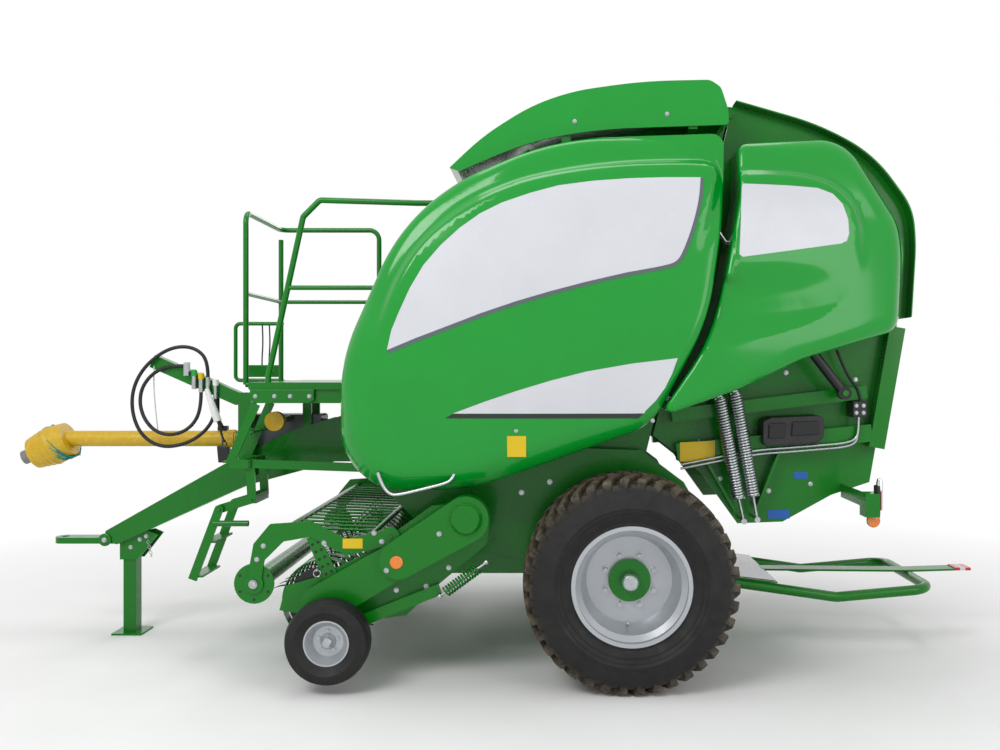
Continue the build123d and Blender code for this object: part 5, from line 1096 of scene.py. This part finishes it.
# Float spring between the gauge arm and the pick-up's side
FLOAT_Y = -1.115
FLOAT_FOOT, FLOAT_TOP, FLOAT_EYE = (-0.19, 0.503), (-0.02, 0.627), (-0.225, 0.478)
FLOAT_COIL, FLOAT_WIRE, FLOAT_PITCH = 0.026, 0.005, 0.0165
foot, top, eye = (Vector(place) for place in at_y((FLOAT_FOOT, FLOAT_TOP, FLOAT_EYE), FLOAT_Y))
coil("float_spring", [(foot, top, FLOAT_COIL, FLOAT_WIRE, FLOAT_PITCH)], green, "pickup")
turned("float_rod", [(eye, top - foot, FLOAT_ROD)], steel, "pickup", 16)

# Tailgate's near side: latch box, oil pipes, manifold and blank films
TAIL_LABEL = [(1.098, 1.155), (1.296, 1.165), (1.296, 1.275), (1.098, 1.265)]
LATCH_BOX = [
    (1.556, 1.262), (1.58, 1.246), (1.86, 1.262), (1.901, 1.3),
    (1.901, 1.405), (1.875, 1.421), (1.60, 1.41), (1.556, 1.39),
]
LATCH_HANDLES = [
    [(1.585, 1.29), (1.68, 1.295), (1.685, 1.38), (1.59, 1.375)],
    [(1.715, 1.305), (1.87, 1.315), (1.87, 1.39), (1.72, 1.385)],
]
OIL_PIPE = (
    (1.10, 1.118), (1.28, 1.155), (1.464, 1.189), (1.58, 1.205), (1.69, 1.212),
    (1.85, 1.225), (2.02, 1.238), (2.09, 1.262), (2.103, 1.32), (2.103, 1.42),
)
OIL_PIPE_Y, OIL_PIPE_SPACING, OIL_PIPE_RADIUS = -0.745, 0.024, 0.007
LATCH_FACE, HANDLE_FACE, HANDLE_BACK = -0.79, -0.802, -0.788
TAIL_LABEL_Y, BARREL_LABEL_Y = 0.7305, 0.8782
MANIFOLD_FACE = -0.775
MANIFOLD_PLUGS = ((2.085, 1.435), (2.125, 1.435), (2.085, 1.475), (2.125, 1.475))
MANIFOLD_PIPE = (
    (2.12, -0.735, 1.495), (2.115, -0.735, 1.56), (2.06, -0.74, 1.62), (2.02, -0.74, 1.7),
    (1.985, -0.735, 1.79),
)
BARREL_LABEL = [(1.50, 2.15), (1.56, 2.07), (1.585, 2.09), (1.525, 2.17)]
film("tail_label", TAIL_LABEL, TAIL_LABEL_Y, -1, yellow_film, "tailgate")
flat_pieces("latch_box", [LATCH_BOX], LATCH_FACE, -TAILGATE_Y, black_plastic_and_hole_shade, "tailgate", 0.01)
flat_pieces("latch_handles", LATCH_HANDLES, HANDLE_FACE, HANDLE_BACK, black_paint, "tailgate", 0.006)
for offset in (0.0, OIL_PIPE_SPACING):
    smooth_line(
        "oil_pipe_%d" % (offset * 1000), [(x, OIL_PIPE_Y - offset / 2, z + offset) for x, z in OIL_PIPE],
        OIL_PIPE_RADIUS, steel, "tailgate",
    )
flat_pieces(
    "manifold", [box_outline((2.066, 1.41), (2.146, 1.5))], MANIFOLD_FACE, -TAILGATE_Y,
    black_plastic_and_hole_shade, "tailgate", 0.006,
)
bolts("manifold_plugs", at_y(MANIFOLD_PLUGS, MANIFOLD_FACE), LEFT, 0.009, "tailgate")
smooth_line("manifold_pipe", MANIFOLD_PIPE, 0.008, hose_rubber, "tailgate")
for label, low, high in (("two", (1.615, 0.82), (1.741, 0.871)), ("three", (1.765, 1.05), (1.844, 1.09))):
    film("blue_label_" + label, box_outline(low, high), TAILGATE_Y + 0.0005, -1, blue_film, "tailgate")
film("barrel_label", BARREL_LABEL, BARREL_LABEL_Y, -1, blue_film, "cylinder_left")

# Shaft cone: ribs, collars and the net thrown over its joint
CONE_ROOT = Vector((-2.71, 0, 1.236))
CONE_RUN = Vector((-0.22625, 0, -0.095))
CONE_RIBS = (  # share of the cone's run, radius
    (0.06, 0.11), (0.2, 0.1153), (0.34, 0.1215), (0.48, 0.1265),
    (0.62, 0.1195), (0.76, 0.1125), (0.9, 0.1055),
)
RIB_HALF, RIB_RISE, RIB_SLOPE = 0.006, 0.004, 0.003
cone_way = CONE_RUN.normalized()
cone_rows = []
for share, radius in CONE_RIBS:
    rib = [
        (0, radius - RIB_RISE), (RIB_SLOPE, radius), (2 * RIB_HALF - RIB_SLOPE, radius),
        (2 * RIB_HALF, radius - RIB_RISE),
    ]
    cone_rows.append((CONE_ROOT + CONE_RUN * share - cone_way * RIB_HALF, CONE_RUN, rib))
cone_rows.append(((-2.758, 0, 1.236), (1, 0, 0), FRONT_COLLAR))
cone_rows.append(((-1.70, 0, 1.236), (1, 0, 0), REAR_COLLAR))
turned("cone_ribs", cone_rows, guard_yellow, "base", 48)

# Each twine of the net wanders over the cone by sines of its number, so no two lie alike
TWINES, TWINE_PLACES, TWINE_RADIUS = 16, 15, 0.0022
NET_RADIUS, NET_SAG, NET_MIDDLE, NET_REACH = 0.1225, 0.0045, 0.26, 0.22
across = cone_way.orthogonal().normalized()
upright = cone_way.cross(across)
for k in range(TWINES):
    points = []
    lean = 0.5 * math.sin(2.4 * k)
    for m in range(TWINE_PLACES):
        turn = 2 * math.pi * m / 12 + 0.7 * k
        share = NET_MIDDLE + NET_REACH * math.sin(turn + lean) + 0.07 * math.sin(3 * turn + k)
        radius = NET_RADIUS + NET_SAG * math.sin(5 * turn + 1.3 * k)
        out = across * math.cos(turn) + upright * math.sin(turn)
        points.append(CONE_ROOT + CONE_RUN * share + out * radius)
    smooth_line("net_twine_%02d" % k, points, TWINE_RADIUS, net_cord, "base")

# Drawbar's nose, jack bolts and the chain of the jack's pin
NOSE = (-2.45, 0.602)
JACK_BOLTS = ((-2.298, 0.55), (-2.24, 0.6), (-2.2, 0.62))
JACK_CHAIN, LINK_SHIFT, LINK_DROP = Vector((-2.185, -0.062, 0.585)), 0.004, 0.017
turned("nose_boss", [((NOSE[0], -0.075, NOSE[1]), LEFT, NOSE_BOSS)], green, "base", 32)
bolts("nose_bolt", [(NOSE[0], -0.091, NOSE[1])], LEFT, 0.013, "base")
bolts("jack_bolts", at_y(JACK_BOLTS, -0.056), LEFT, BOLT, "base")
links = []
for k in range(6):
    way = (1, 0, 0.15) if k % 2 else (0.1, 1, 0)
    links.append((JACK_CHAIN + Vector((LINK_SHIFT, 0, -LINK_DROP)) * k, way, ring_profile(0.009, 0.002)))
turned("jack_chain", links, steel, "base", 14)

# Valve caps on the parked couplers, the white sleeve and rope beside them
ARM_ROOT, ARM_RUN = Vector((-1.56, -0.2553, 1.495)), Vector((-0.53, 0, 0.235))
CAP_RISE = Vector((0, 0, 0.025))
for share, finish in ((0.25, white_plastic), (0.42, yellow_film), (0.5, green_plastic)):
    cap_foot = ARM_ROOT + ARM_RUN * share + CAP_RISE
    turned("coupler_cap_%d" % (share * 100), [(cap_foot, (0, 0, 1), COUPLER_CAP)], finish, "base", 20)
turned("rod_sleeve", [((-1.742, -0.275, 1.56), (0.069, 0, -0.199), ROD_SLEEVE)], white_plastic, "base", 24)
turned(
    "sleeve_rod",
    [
        ((-1.675, -0.275, 1.367), (0.04, 0, -0.136), SLEEVE_ROD),
        ((-1.632, -0.275, 1.222), (0, 1, 0), ring_profile(0.014, 0.004)),
    ],
    black_plastic_and_hole_shade, "base", 16,
)
WHITE_ROPE = (
    (-2.075, -0.245, 1.70), (-2.078, -0.247, 1.6), (-2.07, -0.247, 1.48), (-2.06, -0.247, 1.38),
    (-2.05, -0.247, 1.29),
)
WHITE_ROPE_LENGTH, WHITE_ROPE_DIAMETER = 0.41, 0.008
white_rope = smooth_line("white_rope", WHITE_ROPE, WHITE_ROPE_DIAMETER / 2, rope_white, "base")
SHAFT_FLAP = [(-1.765, 1.188), (-1.69, 1.188), (-1.675, 1.09), (-1.755, 1.082)]
flat_pieces("shaft_flap", [SHAFT_FLAP], -0.025, 0.025, black_plastic_and_hole_shade, "base", 0.006)

# Platform's edge plate, the rail's end, the rope frame's panel and its ropes
PLATFORM_BRACKET = [
    (-1.362, 1.563), (-1.362, 1.505), (-1.33, 1.486), (-1.02, 1.486), (-0.994, 1.505), (-0.994, 1.563),
]
PLATFORM_FACE = -0.66
PLATFORM_SCREWS = ((-1.33, 1.525), (-1.22, 1.525), (-1.13, 1.525), (-1.02, 1.525))
flat_pieces("platform_bracket", [PLATFORM_BRACKET], PLATFORM_FACE, -0.6505, green, "base")
turned("rail_end", [((-0.405, -0.633, 2.638), (1, 0, 0), RAIL_END)], green, "base", 24)
bolts("platform_screws", at_y(PLATFORM_SCREWS, PLATFORM_FACE), LEFT, 0.01, "base")
flat_pieces("rope_panel", [box_outline((-1.78, 1.623), (-1.555, 1.708))], 0.656, 0.664, green, "base")
NET_ROPE_LENGTH, NET_ROPE_DIAMETER = 0.35, 0.01
for x in (-1.672, -1.622):
    route = ((x, 0.668, 1.99), (x + 0.006, 0.67, 1.87), (x - 0.004, 0.668, 1.74), (x, 0.667, 1.64))
    rope = smooth_line("net_rope_%d" % (-x * 1000), route, NET_ROPE_DIAMETER / 2, rope_dark, "base")

# Reflex films on the kicker
PLATE_FRONT, PLATE_REAR, PLATE_HALF = (1.497, 0.4385), (1.712, 0.4133), 0.405
TIP_FOOT, TIP_TOP, TIP_HALF = 0.4035, 0.4215, 0.061
plate_corners = at_y((PLATE_FRONT, PLATE_REAR), -PLATE_HALF) + at_y((PLATE_REAR, PLATE_FRONT), PLATE_HALF)
build = bmesh.new()
build.faces.new([build.verts.new(corner) for corner in plate_corners])
finish_mesh("kicker_plate_film", build, white_film, "kicker_hoop", smooth=False)
for name, low_x, high_x, finish in (
    ("red", 2.93, 2.962, red_film), ("white", 2.962, 2.995, white_film), ("end", 2.995, 3.0285, red_film),
):
    flat_pieces(
        "kicker_tip_" + name, [box_outline((low_x, TIP_FOOT), (high_x, TIP_TOP))], -TIP_HALF, TIP_HALF,
        finish, "kicker_hoop", 0.001,
    )


# Studio
def stage_sheet(name, corners, finish):
    """Flat sheet that belongs to the studio, not to the machine."""
    mesh = bpy.data.meshes.new(name)
    mesh.from_pydata(corners, [], [tuple(range(len(corners)))])
    piece = bpy.data.objects.new(name, mesh)
    bpy.context.scene.collection.objects.link(piece)
    mesh.materials.append(finish)


# Matt paper sweep: off-white where the shadow falls, and lost in the white further out
WHITE_START, WHITE_FULL = 2.6, 6.0
FLOOR_HALF = 40
floor_finish, tree, floor_shader, place = new_material("matt_studio_floor", Roughness=0.9)
clouds = noise(tree, place, FLOOR_CLOUD, 3)
floor_tone = ramp(tree, clouds, [(0.3, linear("F4F4F4")), (0.7, linear("F8F8F8"))])
tree.links.new(floor_tone, floor_shader.inputs["Base Color"])
reach = add_node(
    tree, "ShaderNodeVectorMath", [("operation", "LENGTH")], links=[(0, place)],
).outputs["Value"]
away = add_node(
    tree, "ShaderNodeMapRange", values=[("From Min", WHITE_START), ("From Max", WHITE_FULL)],
    links=[("Value", reach)],
).outputs[0]
white_out = add_node(
    tree, "ShaderNodeEmission", values=[("Color", (1, 1, 1, 1)), ("Strength", 1.0)],
).outputs[0]
floor_mix = add_node(
    tree, "ShaderNodeMixShader", links=[("Fac", away), (1, floor_shader.outputs[0]), (2, white_out)],
)
tree.links.new(floor_mix.outputs[0], tree.nodes["Material Output"].inputs["Surface"])
floor_corners = [(-FLOOR_HALF, -FLOOR_HALF, 0), (FLOOR_HALF, -FLOOR_HALF, 0)]
floor_corners += [(FLOOR_HALF, FLOOR_HALF, 0), (-FLOOR_HALF, FLOOR_HALF, 0)]
stage_sheet("floor", floor_corners, floor_finish)

# World: plain white to the camera and in gloss and glass, and half as bright on the object
world = bpy.data.worlds.new("studio")
bpy.context.scene.world = world
world.use_nodes = True
world_tree = world.node_tree
sky = world_tree.nodes["Background"]
path = add_node(world_tree, "ShaderNodeLightPath")
seen = path.outputs["Is Camera Ray"]
for ray in ("Is Glossy Ray", "Is Transmission Ray"):
    seen = add_node(
        world_tree, "ShaderNodeMath", [("operation", "MAXIMUM")],
        links=[(0, seen), (1, path.outputs[ray])],
    ).outputs[0]
sky.inputs["Color"].default_value = (1, 1, 1, 1)
sky.inputs["Strength"].default_value = 0.5
plain = add_node(world_tree, "ShaderNodeBackground", values=[("Color", (1, 1, 1, 1)), ("Strength", 1.0)])
world_mix = add_node(
    world_tree, "ShaderNodeMixShader",
    links=[("Fac", seen), (1, sky.outputs[0]), (2, plain.outputs[0])],
)
world_tree.links.new(world_mix.outputs[0], world_tree.nodes["World Output"].inputs["Surface"])


def softbox(name, place, aim, size, watts):
    """Rectangular studio light aimed at a point."""
    light = bpy.data.lights.new(name, "AREA")
    light.shape = "RECTANGLE"
    light.size, light.size_y = size
    light.energy = watts
    piece = bpy.data.objects.new(name, light)
    piece.location = place
    piece.rotation_euler = (Vector(aim) - Vector(place)).to_track_quat("-Z", "Y").to_euler()
    bpy.context.scene.collection.objects.link(piece)


# Place, point aimed at, width and height, watts
softbox("key_light", (-3.5, -6.5, 6.5), (0, 0, 1.4), (4.0, 3.0), 300)
softbox("fill_light", (5.5, -6.0, 3.5), (0.8, 0, 1.2), (3.0, 4.0), 90)
softbox("top_light", (0.5, 0, 8.0), (0.5, 0, 0), (6.0, 3.0), 150)
softbox("back_light", (1.0, 7.0, 5.0), (0.5, 0, 1.5), (5.0, 3.0), 120)
